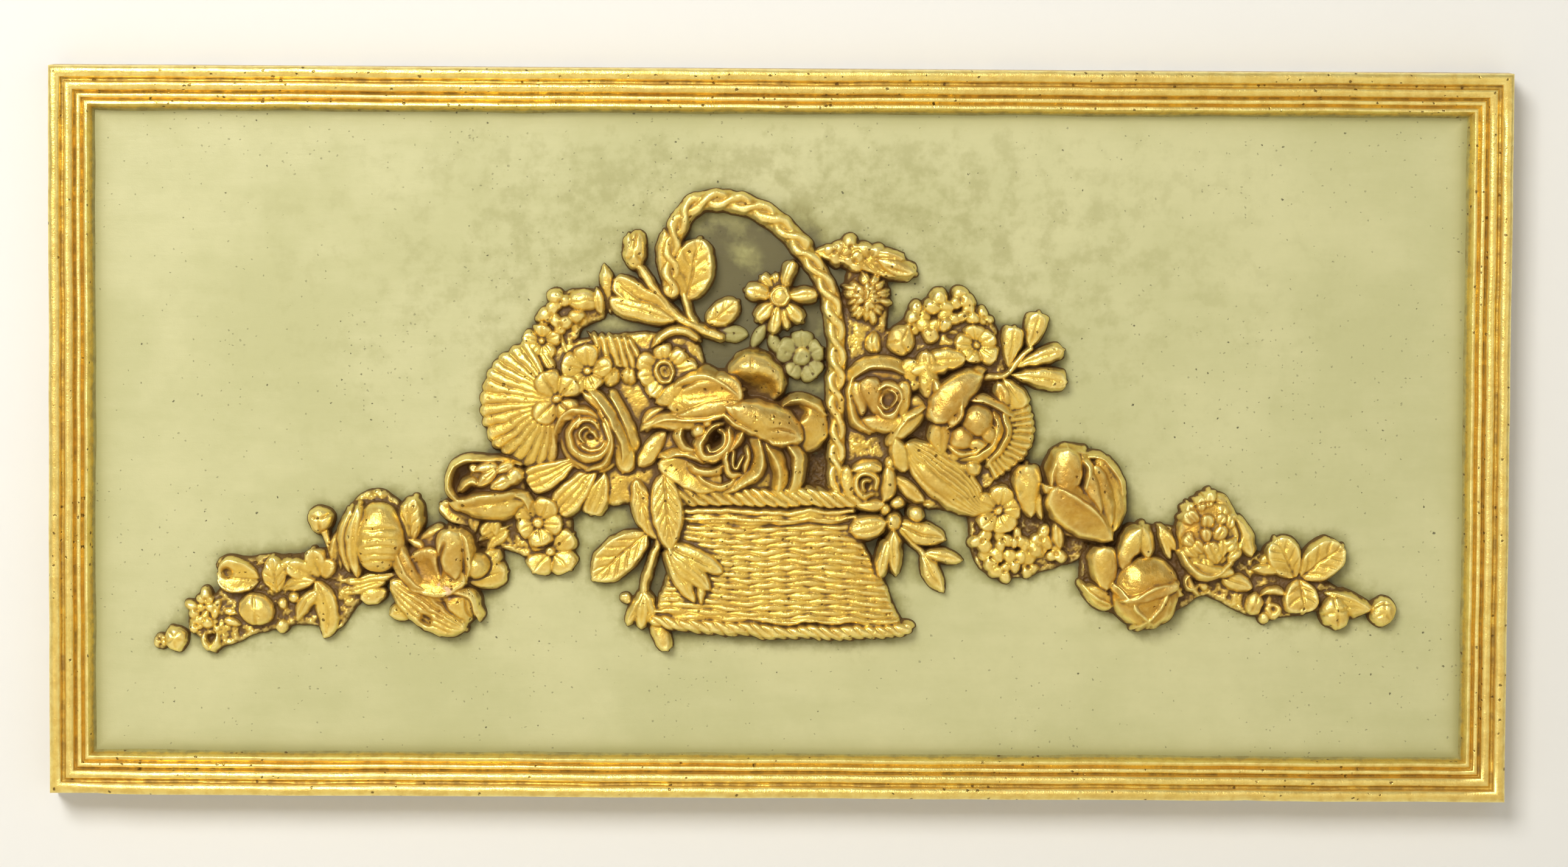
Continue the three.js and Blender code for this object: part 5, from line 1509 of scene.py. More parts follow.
def write_mask(piece: bpy.types.Object, name: str, values: np.ndarray) -> None:
    """Keeps one value for every point of a piece, for its finish to read."""
    made = piece.data.attributes.new(name, "FLOAT", "POINT")
    made.data.foreach_set("value", values.astype(np.float32))


def close_foot(piece: bpy.types.Object) -> None:
    """Fills the open loops at a piece's foot with flat faces that face the wall."""
    shape = bmesh.new()
    shape.from_mesh(piece.data)
    open_edges = [edge for edge in shape.edges if len(edge.link_faces) == 1]
    filled = bmesh.ops.triangle_fill(shape, edges=open_edges, normal=(0, 1, 0), use_beauty=False)
    for face in filled["geom"]:
        if isinstance(face, bmesh.types.BMFace) and face.normal.y < 0:
            face.normal_flip()
    shape.to_mesh(piece.data)
    shape.free()


def smooth_with(piece: bpy.types.Object, normals: np.ndarray, fronts: int) -> None:
    """Shades a piece's front faces with the carving's own normals and leaves its other faces flat.

    Args:
        piece: the piece.
        normals: one normal for each point of the front.
        fronts: number of front faces, which come first.
    """
    mesh = piece.data
    smooth = np.zeros(len(mesh.polygons), dtype=bool)
    smooth[:fronts] = True
    mesh.polygons.foreach_set("use_smooth", smooth)
    corners = np.zeros(len(mesh.loops), dtype=np.int32)
    mesh.loops.foreach_get("vertex_index", corners)
    loops = np.zeros((len(corners), 3), dtype=np.float32)
    loops[: fronts * 4] = normals[corners[: fronts * 4]]
    mesh.normals_split_custom_set(loops.tolist())


@dataclass
class Relief:
    """The whole carved relief: its heights, its masks and the meshes cut from it."""

    groups: list[ReliefGroup]
    stretches: dict[str, Box]
    limits: Box = (-266, 264, -96, 106)
    step: float = 0.18
    stride: int = 2
    ground: float = 12.0
    foot: float = -1.6
    soften: float = 0.2
    most: float = 19.6
    pits: int = 520
    glazed: tuple[tuple[float, float, float, float], ...] = (
        (-18, 2, 38, 25),
        (-8, 24, 14, 12),
        (78, 12, 20, 20),
        (41, 16, 12, 14),
        (38, 68, 20, 20),
        (-122, -20, 17, 15),
        (-143, -58, 19, 20),
        (-80, 0, 19, 18),
        (126, -24, 18, 20),
        (151, -62, 20, 18),
        (176, -36, 14, 12),
    )

    def carve(self) -> None:
        """Stamps every carving, softens and roughens the casting, and reads its masks."""
        self.field = ReliefField(self.limits, self.step)
        for group in self.groups:
            carvings = group.carvings()
            logging.info("%s: %d carvings", group.name, len(carvings))
            for carving in carvings:
                carving.stamp(self.field)
        rise = wavered(blurred(self.field.rise, self.soften / self.step), self.step)
        green = wavered(blurred(self.field.green, 0.4 / self.step), self.step)
        above = np.clip(rise, 0, 1)
        low = above * np.clip((5.2 - rise) / 2.5, 0, 1) * (1 - green)
        for height, crust, cell, seed in ((0.16, 0.5, 4.2, 11), (0.1, 0.75, 2.1, 12), (0.04, 0.25, 0.8, 13)):
            rise += (above * height + low * crust) * rough_noise(rise.shape, cell / self.step, seed)
        self.sink_pits(rise)
        self.rise = np.minimum(rise, self.most)
        solid = np.maximum(self.rise, 0)
        # near and far tell how far each point lies below its surroundings; deep marks the low places between forms
        near = blurred(solid, 0.9 / self.step) - solid
        far = blurred(solid, 3.4 / self.step) - solid
        deep = np.clip((4.6 - self.rise) / 4, 0, 1) * (1 - green)
        glaze = np.zeros_like(self.rise)
        for x, z, wide, tall in self.glazed:
            across, up = ((self.field.x - x) / wide) ** 2, ((self.field.z - z) / tall) ** 2
            glaze = np.maximum(glaze, np.clip(1.6 - 1.5 * (up[:, None] + across[None, :]), 0, 1))
        self.masks = {
            "glaze": glaze,
            # The next mask darkens hollows and low places: partly the brown antiquing wash that gathers there, partly
            # painted shade.
            "wash_and_shade": np.clip(near / 0.65, 0, 1) * 0.7 + np.clip(far / 3.8, 0, 1) * 0.8 + deep * 0.7,
            # The next mask lightens crests and edges: rubbed gilding and a painted highlight.
            "wear_and_highlight": np.clip(-near / 0.45, 0, 1) * 0.8 + np.clip(-far / 3.5, 0, 1) * 0.3,
            "paint": np.maximum(green, np.clip(1.1 - self.rise, 0, 1)),
        }
        # The ground darkens near the relief with a blur of its outline: partly dirt, partly painted contact shade.
        covered = (self.rise > 0).astype(np.float32)
        self.dirt_and_contact_shade = 0.45 * blurred(covered, 2.2 / self.step) + 0.55 * blurred(covered, 7.0 / self.step)

    def sink_pits(self, rise: np.ndarray) -> None:
        """Sinks small air-bubble pits into the heights of the casting."""
        source = np.random.default_rng(5)
        rows, columns = np.nonzero(rise > 1.5)
        for place in source.integers(0, len(rows), self.pits):
            radius = source.uniform(0.22, 0.5)
            reach = int(radius * 2 / self.step) + 1
            row, column = rows[place], columns[place]
            r = slice(max(row - reach, 0), row + reach + 1)
            c = slice(max(column - reach, 0), column + reach + 1)
            x, z = np.meshgrid(self.field.x[c] - self.field.x[column], self.field.z[r] - self.field.z[row])
            rise[r, c] -= radius * 0.9 * np.exp(-(x * x + z * z) / radius**2)

    def cells(self, rise: np.ndarray) -> np.ndarray:
        """Returns which cells of a stretch belong to the relief, with no two that touch only at a corner."""
        corners = [rise[:-1, :-1], rise[1:, :-1], rise[:-1, 1:], rise[1:, 1:]]
        kept = np.maximum.reduce(corners) > -0.7
        for _ in range(8):
            a, b, c, d = kept[:-1, :-1], kept[:-1, 1:], kept[1:, :-1], kept[1:, 1:]
            rows, columns = np.nonzero((a & d & ~b & ~c) | (b & c & ~a & ~d))
            if not len(rows):
                break
            for down, along in ((0, 0), (0, 1), (1, 0), (1, 1)):
                kept[rows + down, columns + along] = True
        return kept

    def build(self, name: str) -> bpy.types.Object:
        """Cuts one stretch out of the relief as a closed mesh.

        Args:
            name: name of the stretch.

        Returns:
            The stretch's piece.
        """
        left, right, low, high = self.stretches[name]
        columns, rows = np.arange(0, len(self.field.x), self.stride), np.arange(0, len(self.field.z), self.stride)
        first, last = np.searchsorted(self.field.x[columns], (left, right))
        start, stop = np.searchsorted(self.field.z[rows], (low, high))
        columns, rows = columns[first : last + 1], rows[start : stop + 1]
        pick = np.ix_(rows, columns)
        rise = self.rise[pick]
        index = np.arange(rise.size).reshape(rise.shape)
        faces = np.stack([index[:-1, :-1], index[:-1, 1:], index[1:, 1:], index[1:, :-1]], -1)[self.cells(rise)]
        used, faces = np.unique(faces, return_inverse=True)
        faces = faces.reshape(-1, 4)
        r, c = np.unravel_index(used, rise.shape)
        points = np.stack([self.field.x[columns[c]], -self.ground - rise[r, c], self.field.z[rows[r]]], 1)
        rising, running = (slope[pick][r, c] for slope in self.slopes())
        normals = np.stack([-running, -np.ones(len(r)), -rising], 1)
        normals /= np.linalg.norm(normals, axis=1, keepdims=True)
        rim = self.rim(faces, len(used))
        rim_points, ends = np.unique(rim, return_inverse=True)
        ends = ends.reshape(-1, 2) + len(used)
        walls = np.stack([rim[:, 1], rim[:, 0], ends[:, 0], ends[:, 1]], 1)
        feet = points[rim_points].copy()
        feet[:, 1] = -self.ground - self.foot
        piece = mesh_from(name, np.vstack([points, feet]) * MM, np.vstack([faces, walls]))
        for mask, grid in self.masks.items():
            values = grid[pick][r, c]
            write_mask(piece, mask, np.concatenate([values, values[rim_points]]))
        close_foot(piece)
        smooth_with(piece, normals, len(faces))
        return piece

    def slopes(self) -> list[np.ndarray]:
        """Returns how steeply the relief climbs upwards and to the right."""
        return np.gradient(self.rise, self.step)

    def rim(self, faces: np.ndarray, count: int) -> np.ndarray:
        """Finds the open edges of a mesh.

        Args:
            faces: rows of four point numbers.
            count: number of points.

        Returns:
            Rows of two point numbers, in the order that their face has them.
        """
        edges = np.concatenate([faces[:, [i, (i + 1) % 4]] for i in range(4)])
        code = edges.min(1).astype(np.int64) * count + edges.max(1)
        _, where, times = np.unique(code, return_index=True, return_counts=True)
        return edges[where[times == 1]]


# The plaque's body: frame, ground and back


def settle(piece: bpy.types.Object) -> None:
    """Moves a piece's place, turn and scale into its mesh."""
    bpy.ops.object.select_all(action="DESELECT")
    piece.select_set(True)
    bpy.context.view_layer.objects.active = piece
    bpy.ops.object.transform_apply(location=True, rotation=True, scale=True)


def started(name: str) -> bpy.types.Object:
    """Names the piece that an operator has just added, and returns it."""
    piece = bpy.context.object
    piece.name = piece.data.name = name
    return piece


def read_points(piece: bpy.types.Object) -> np.ndarray:
    """Returns the piece's points as rows of x, y and z in millimetres."""
    points = np.zeros(len(piece.data.vertices) * 3, dtype=np.float32)
    piece.data.vertices.foreach_get("co", points)
    return points.reshape(-1, 3).astype(float) / MM


def write_points(piece: bpy.types.Object, points: np.ndarray) -> None:
    """Moves the piece's points to rows of x, y and z in millimetres."""
    piece.data.vertices.foreach_set("co", (points * MM).astype(np.float32).ravel())
    piece.data.update()


@dataclass
class Panel:
    """The plaque's body in millimetres: its outer size, ground, and the frame's moulding from outside in."""

    width: float = 610.0
    height: float = 307.0
    ground: float = 12.0
    back: float = 1.0
    frame_rise: float = 8.4
    outer_draft: float = 2.0
    torus: float = 5.0
    torus_tall: float = 2.6
    cove: float = 1.4
    step_bead: float = 3.8
    step_bead_drop: float = 1.1
    groove: float = 0.9
    small_bead: float = 2.1
    small_bead_drop: float = 2.2
    bead_foot_drop: float = 3.3
    sight_lip: float = 1.7
    sight_lip_drop: float = 2.8
    inner_draft: float = 1.9
    dents: tuple[tuple[float, ...], ...] = (
        (-298.5, -152, 5, 1.3),
        (-283, -151, 3, 0.6),
        (302, -61, 3, 0.4),
        (121, 152, 3, 0.3),
        (-303, 40, 4, 0.3),
        (196, -151, 4, 0.3),
    )

    def profile(self) -> list[tuple[float, float]]:
        """Returns the moulding as points of (distance from the outer edge, height above the wall)."""
        crest = self.ground + self.frame_rise
        foot = crest - self.bead_foot_drop
        points = [(0.0, self.back)]
        beads = (
            (self.outer_draft, self.torus, crest - self.torus_tall, crest, crest - self.torus_tall),
            (self.cove, self.step_bead, crest - self.torus_tall, crest - self.step_bead_drop, foot),
            (self.groove, self.small_bead, foot, crest - self.small_bead_drop, foot),
            (self.groove, self.sight_lip, foot, crest - self.sight_lip_drop, foot + 0.5),
        )
        away = 0.0
        for gap, width, near, top, far in beads:
            if away:
                points.append((away + gap / 2, min(points[-1][1], near) - 0.35))
            away += gap
            for angle in np.linspace(0, math.pi, 9):
                share = 0.5 - 0.5 * math.cos(angle)
                level = near + (far - near) * share
                lift = (top - (near + far) / 2) * math.sin(angle) ** 0.8
                points.append((away + width * share, level + lift))
            away += width
        points.append((away + self.inner_draft * 0.5, self.ground + 2.2))
        points.append((away + self.inner_draft, self.ground + 0.3))
        points.append((away + self.inner_draft + 0.8, self.ground - 0.4))
        return points

    def sight(self) -> tuple[float, float]:
        """Returns the width and height of the opening that the ground lies in."""
        inset = self.profile()[-1][0]
        return self.width - 2 * inset, self.height - 2 * inset

    def build_frame(self) -> bpy.types.Object:
        """Models the frame: a plate inset step by step along the moulding, then opened and closed behind."""
        bpy.ops.object.select_all(action="DESELECT")
        bpy.ops.mesh.primitive_plane_add(size=1, location=(0, -self.back * MM, 0), rotation=(math.pi / 2, 0, 0))
        piece = started("frame")
        piece.scale = (self.width * MM, self.height * MM, 1)
        settle(piece)
        bpy.ops.object.mode_set(mode="EDIT")
        bpy.ops.mesh.select_all(action="SELECT")
        profile = self.profile()
        for (away, rise), (next_away, next_rise) in zip(profile, profile[1:]):
            thickness = max(next_away - away, 0.004) * MM
            bpy.ops.mesh.inset(thickness=thickness, depth=(next_rise - rise) * MM, use_even_offset=True)
        bpy.ops.mesh.delete(type="FACE")
        bpy.ops.mesh.select_mode(type="EDGE")
        self.select_open_edges(profile[-1][1])
        back = (profile[-1][1] - self.back) * MM
        bpy.ops.mesh.extrude_region_move(TRANSFORM_OT_translate={"value": (0, back, 0)})
        bpy.ops.mesh.select_all(action="DESELECT")
        bpy.ops.mesh.select_non_manifold()
        bpy.ops.mesh.bridge_edge_loops()
        self.cut_stations(110, 56)
        bpy.ops.mesh.select_all(action="SELECT")
        bpy.ops.mesh.normals_make_consistent(inside=False)
        bpy.ops.object.mode_set(mode="OBJECT")
        self.age(piece)
        bpy.ops.object.shade_smooth_by_angle(angle=math.radians(55))
        return piece

    def select_open_edges(self, rise: float) -> None:
        """Selects the open edges that lie at a height above the wall."""
        bpy.ops.mesh.select_all(action="DESELECT")
        shape = bmesh.from_edit_mesh(bpy.context.object.data)
        for edge in shape.edges:
            level = all(abs(corner.co.y + rise * MM) < 1e-6 for corner in edge.verts)
            edge.select_set(level and len(edge.link_faces) < 2)
        bmesh.update_edit_mesh(bpy.context.object.data)

    def cut_stations(self, across: int, up: int) -> None:
        """Cuts the frame's lengths into stations, so that its edges can waver.

        Args:
            across: number of cuts along the width.
            up: number of cuts along the height.
        """
        for count, size, way in ((across, self.width, (1, 0, 0)), (up, self.height, (0, 0, 1))):
            inner = size / 2 - self.profile()[-1][0] - 1
            for place in np.linspace(-inner, inner, count):
                bpy.ops.mesh.select_all(action="SELECT")
                bpy.ops.mesh.bisect(plane_co=tuple(place * MM * part for part in way), plane_no=way)

    def age(self, piece: bpy.types.Object) -> None:
        """Wavers and dents the frame, and keeps as masks its hollows, darkened by brown wash and painted shade, its
        crests, lightened as rubbed gilding and a painted highlight, and its painted edge.
        """
        points = read_points(piece)
        x, z = points[:, 0].copy(), points[:, 2].copy()
        away = np.minimum(self.width / 2 - np.abs(x), self.height / 2 - np.abs(z))
        profile = np.array(self.profile())
        flat = np.arange(0, profile[-1, 0], 0.1)
        rise = np.interp(flat, profile[:, 0], profile[:, 1])
        kernel = np.exp(-0.5 * (np.arange(-24, 25) / 8) ** 2)
        around = np.convolve(np.pad(rise, 24, mode="edge"), kernel / kernel.sum(), mode="valid")
        hollow = np.interp(away, flat, around - rise)
        front = points[:, 1] < -self.ground + 0.6
        along = np.where(self.width / 2 - np.abs(x) < self.height / 2 - np.abs(z), z + 700, x)
        waver = 0.3 * np.sin(along / 23 + 1.3) + 0.2 * np.sin(along / 9.7) + 0.12 * np.sin(along / 4.3 + 2)
        inward = front * np.clip(away / 2.5, 0, 1) * (0.32 + 0.3 * waver)
        points[:, 0] -= np.sign(x) * inward * (self.width / 2 - np.abs(x) < 24)
        points[:, 2] -= np.sign(z) * inward * (self.height / 2 - np.abs(z) < 24)
        sway = 0.2 + 0.12 * np.sin(along / 13) + 0.1 * np.sin(along / 6.1 + away / 2)
        points[:, 1] += front * np.clip(away / 4, 0, 1) * sway
        for dent_x, dent_z, radius, depth in self.dents:
            near = np.exp(-((x - dent_x) ** 2 + (z - dent_z) ** 2) / radius**2)
            points[:, 1] += front * near * depth
            points[:, 2] -= np.sign(z) * near * depth * 0.7 * (self.height / 2 - np.abs(z) < 8)
        points[:, 1] = np.minimum(points[:, 1], -self.back)
        write_points(piece, points)
        # The moulding's hollows get brown wash and painted shade; its crests get rubbed gilding and a painted
        # highlight.
        write_mask(piece, "wash_and_shade", np.clip((hollow - 0.15) / 1.7, 0, 0.55))
        write_mask(piece, "wear_and_highlight", np.clip(0.1 - hollow / 0.5, 0, 1))
        painted = np.clip((away - profile[-3, 0] + 0.4) / 1.3, 0, 1)
        write_mask(piece, "paint", painted * (points[:, 1] < -self.ground + 1))

    def build_ground(self, relief: Relief) -> bpy.types.Object:
        """Models the ground: a fine grid, swayed a little, thickened and closed behind.

        Args:
            relief: the carved relief, whose closeness darkens the ground as dirt and painted contact shade.

        Returns:
            The ground.
        """
        wide, tall = (size + 1.6 for size in self.sight())
        bpy.ops.object.select_all(action="DESELECT")
        bpy.ops.mesh.primitive_grid_add(
            x_subdivisions=int(wide / 1.7), y_subdivisions=int(tall / 1.7), size=1, rotation=(math.pi / 2, 0, 0)
        )
        piece = started("ground")
        piece.scale = (wide * MM, tall * MM, 1)
        settle(piece)
        points = read_points(piece)
        x, z = points[:, 0], points[:, 2]
        sway = 0.1 * np.sin(x / 31 + 0.6) * np.sin(z / 24 + 1.1) + 0.05 * np.sin(x / 9 + z / 13)
        points[:, 1] = -self.ground - sway
        write_points(piece, points)
        dirt_and_contact_shade = relief.dirt_and_contact_shade
        column = ((x - relief.limits[0]) / relief.step).astype(int)
        row = ((z - relief.limits[2]) / relief.step).astype(int)
        inside = (column >= 0) & (column < dirt_and_contact_shade.shape[1]) & (row >= 0) & (row < dirt_and_contact_shade.shape[0])
        near = dirt_and_contact_shade[np.clip(row, 0, dirt_and_contact_shade.shape[0] - 1), np.clip(column, 0, dirt_and_contact_shade.shape[1] - 1)]
        edge = np.minimum(wide / 2 - np.abs(x), tall / 2 - np.abs(z))
        # Broader darker patches above the handle and inside it, less dark at one spot near the handle's top.
        tinted = 0.27 * np.exp(-((x / 170) ** 2) - ((z - 70) / 80) ** 2)
        held = np.exp(-(((x + 12) / 35) ** 4) - ((z - 56) / 40) ** 4)
        held = held * (0.95 - 0.5 * np.exp(-(((x + 13) / 9) ** 2) - ((z - 74) / 9) ** 2))
        write_mask(piece, "dirt_and_contact_shade", np.maximum(np.where(inside, near, 0), np.maximum(tinted, held)))
        # The ground darkens along the frame: partly dirt, partly painted shade from the frame's raised edge.
        write_mask(piece, "rim", np.exp(-np.maximum(edge - 1, 0) / 2.6))
        bpy.ops.object.mode_set(mode="EDIT")
        bpy.ops.mesh.select_mode(type="EDGE")
        bpy.ops.mesh.select_all(action="DESELECT")
        bpy.ops.mesh.select_non_manifold()
        depth = (self.ground - self.back - 0.4) * MM
        bpy.ops.mesh.extrude_region_move(TRANSFORM_OT_translate={"value": (0, depth, 0)})
        bpy.ops.mesh.edge_face_add()
        bpy.ops.mesh.select_all(action="SELECT")
        bpy.ops.mesh.normals_make_consistent(inside=False)
        bpy.ops.object.mode_set(mode="OBJECT")
        bpy.ops.object.shade_smooth_by_angle(angle=math.radians(40))
        return piece

    def build_back(self) -> bpy.types.Object:
        """Models the back: a plate of plaster with eased edges."""
        bpy.ops.object.select_all(action="DESELECT")
        bpy.ops.mesh.primitive_cube_add(size=1, location=(0, -self.back * MM / 2, 0))
        piece = started("back")
        piece.scale = (self.width * MM, self.back * MM, self.height * MM)
        settle(piece)
        bpy.ops.object.mode_set(mode="EDIT")
        bpy.ops.mesh.select_all(action="SELECT")
        bpy.ops.mesh.bevel(offset=0.3 * MM, segments=2)
        bpy.ops.object.mode_set(mode="OBJECT")
        bpy.ops.object.shade_smooth_by_angle(angle=math.radians(40))
        return piece


# Finishes


class Nodes:
    """Lays and links the nodes of one tree."""

    def __init__(self, tree: bpy.types.NodeTree) -> None:
        """Starts with an empty tree."""
        self.tree = tree
        tree.nodes.clear()

    def add(self, kind: str, inputs: dict | None = None, **settings: object) -> bpy.types.Node:
        """Adds a node.

        Args:
            kind: the node's type, without its common first part.
            inputs: values or sockets for its inputs, by name or number.
            **settings: values of the node's own settings.

        Returns:
            The node.
        """
        node = self.tree.nodes.new(kind if kind.startswith("NodeGroup") else "ShaderNode" + kind)
        for name, value in settings.items():
            setattr(node, name, value)
        for name, value in (inputs or {}).items():
            if isinstance(value, bpy.types.NodeSocket):
                self.tree.links.new(value, node.inputs[name])
            else:
                node.inputs[name].default_value = value
        return node

    def math(self, how: str, *values: object) -> bpy.types.NodeSocket:
        """Returns the result of a math node."""
        return self.add("Math", dict(enumerate(values)), operation=how).outputs[0]

    def mix(self, share: object, first: object, second: object, how: str = "MIX") -> bpy.types.NodeSocket:
        """Returns a mix of two colours."""
        colours = [(*value, 1.0) if isinstance(value, tuple) else value for value in (first, second)]
        return self.add("Mix", {0: share, 6: colours[0], 7: colours[1]}, data_type="RGBA", blend_type=how).outputs[2]

    def noise(self, where: object, scale: float, detail: float = 3.0, rough: float = 0.55) -> bpy.types.NodeSocket:
        """Returns the value of a noise texture."""
        inputs = {"Vector": where, "Scale": scale, "Detail": detail, "Roughness": rough}
        return self.add("TexNoise", inputs).outputs[0]

    def step(
        self, value: object, low: float, high: float, first: float = 0.0, last: float = 1.0
    ) -> bpy.types.NodeSocket:
        """Returns a smooth step from one value to another between two limits."""
        inputs = {0: value, 1: low, 2: high, 3: first, 4: last}
        return self.add("MapRange", inputs, interpolation_type="SMOOTHSTEP").outputs[0]

    def mask(self, name: str) -> bpy.types.NodeSocket:
        """Returns a mask that the mesh keeps at its points."""
        return self.add("Attribute", attribute_name=name).outputs["Fac"]

    def group(self, name: str, where: object, **values: object) -> bpy.types.NodeSocket:
        """Places a shared node group and returns its output."""
        tree = bpy.data.node_groups[name]
        return self.add("Group", {"Where": where, **values}, node_tree=tree).outputs[0]


def shared_group(name: str, inputs: dict[str, float], output: str) -> tuple[Nodes, dict[str, bpy.types.NodeSocket]]:
    """Starts a shared node group.

    Args:
        name: name of the group.
        inputs: names and first values of its number inputs, besides Where.
        output: name of its output.

    Returns:
        The group's nodes and its inputs inside.
    """
    tree = bpy.data.node_groups.new(name, "ShaderNodeTree")
    tree.interface.new_socket(name="Where", in_out="INPUT", socket_type="NodeSocketVector")
    for socket, value in inputs.items():
        tree.interface.new_socket(name=socket, in_out="INPUT", socket_type="NodeSocketFloat").default_value = value
    tree.interface.new_socket(name=output, in_out="OUTPUT", socket_type="NodeSocketFloat")
    nodes = Nodes(tree)
    return nodes, nodes.add("NodeGroupInput").outputs


def build_specks() -> None:
    """Builds the shared specks: small ragged dots of dirt that gather in patches."""
    nodes, source = shared_group("specks", {"Scale": 260.0, "Amount": 0.3, "Size": 0.3}, "Specks")
    where = source["Where"]
    warp = nodes.add("TexNoise", {"Vector": where, "Scale": 900.0, "Detail": 1.0}).outputs[1]
    shift = nodes.add("VectorMath", {0: warp, 3: 0.0012}, operation="SCALE").outputs[0]
    place = nodes.add("VectorMath", {0: where, 1: shift}, operation="ADD").outputs[0]
    cells = nodes.add("TexVoronoi", {"Vector": place, "Scale": source["Scale"]}).outputs
    pick = nodes.add("SeparateColor", {0: cells["Color"]}).outputs
    patch = nodes.step(nodes.noise(where, 16.0, 2.0), 0.4, 0.7, 0.25, 1.3)
    chosen = nodes.math("LESS_THAN", pick[0], nodes.math("MULTIPLY", source["Amount"], patch))
    size = nodes.math("MULTIPLY", source["Size"], nodes.math("ADD", pick[1], 0.3))
    inside = nodes.math("SUBTRACT", 1.0, nodes.math("DIVIDE", cells["Distance"], size))
    nodes.add("NodeGroupOutput", {"Specks": nodes.math("MULTIPLY", nodes.step(inside, 0.0, 0.5), chosen)})


def build_grain() -> None:
    """Builds the shared grain of painted plaster: fine tooth, soft lumps and the drag of a brush."""
    nodes, source = shared_group("casting_grain", {"Tooth": 0.35, "Lumps": 0.6, "Drag": 0.3}, "Height")
    where = source["Where"]
    spread = nodes.add("Mapping", {"Vector": where, "Scale": (90.0, 300.0, 520.0)}).outputs[0]
    height = nodes.math("MULTIPLY", nodes.noise(where, 1700.0, 2.0), source["Tooth"])
    height = nodes.math("MULTIPLY_ADD", nodes.noise(where, 330.0, 3.0), source["Lumps"], height)
    height = nodes.math("MULTIPLY_ADD", nodes.noise(spread, 1.0, 3.0), source["Drag"], height)
    nodes.add("NodeGroupOutput", {"Height": height})


def build_patches() -> None:
    """Builds the shared patches: cloudy variation with rubbed streaks, about 0 to 1."""
    nodes, source = shared_group("patches", {"Scale": 30.0, "Streaks": 0.4}, "Patches")
    where = source["Where"]
    broad = nodes.noise(where, source["Scale"], 5.0, 0.62)
    spread = nodes.add("Mapping", {"Vector": where, "Scale": (28.0, 60.0, 150.0), "Rotation": (0.0, 0.35, 0.0)})
    streaks = nodes.noise(spread.outputs[0], 1.0, 4.0, 0.6)
    value = nodes.math("ADD", broad, nodes.math("MULTIPLY", nodes.math("SUBTRACT", streaks, 0.5), source["Streaks"]))
    nodes.add("NodeGroupOutput", {"Patches": nodes.step(value, 0.32, 0.68)})


Colour = tuple[float, float, float]


@dataclass(frozen=True)
class Finish:
    """A finish of the plaque: its name and the record's slot that it stands for."""

    name: str
    slot: str

    def start(self) -> tuple[bpy.types.Material, Nodes, bpy.types.NodeSocket]:
        """Returns a new material, its nodes and the place to read patterns from."""
        material = bpy.data.materials.new(self.name)
        material.use_nodes = True
        nodes = Nodes(material.node_tree)
        return material, nodes, nodes.add("TexCoord").outputs["Object"]

    def end(self, nodes: Nodes, values: dict, height: bpy.types.NodeSocket, distance: float) -> None:
        """Ends a material with its bump and surface.

        Args:
            nodes: the material's nodes.
            values: inputs of the surface.
            height: height that roughens the surface.
            distance: how far that height reaches, in metres.
        """
        bump = nodes.add("Bump", {"Height": height, "Distance": distance, "Strength": 1.0})
        surface = nodes.add("BsdfPrincipled", {**values, "Normal": bump.outputs[0]})
        nodes.add("OutputMaterial", {0: surface.outputs[0]})


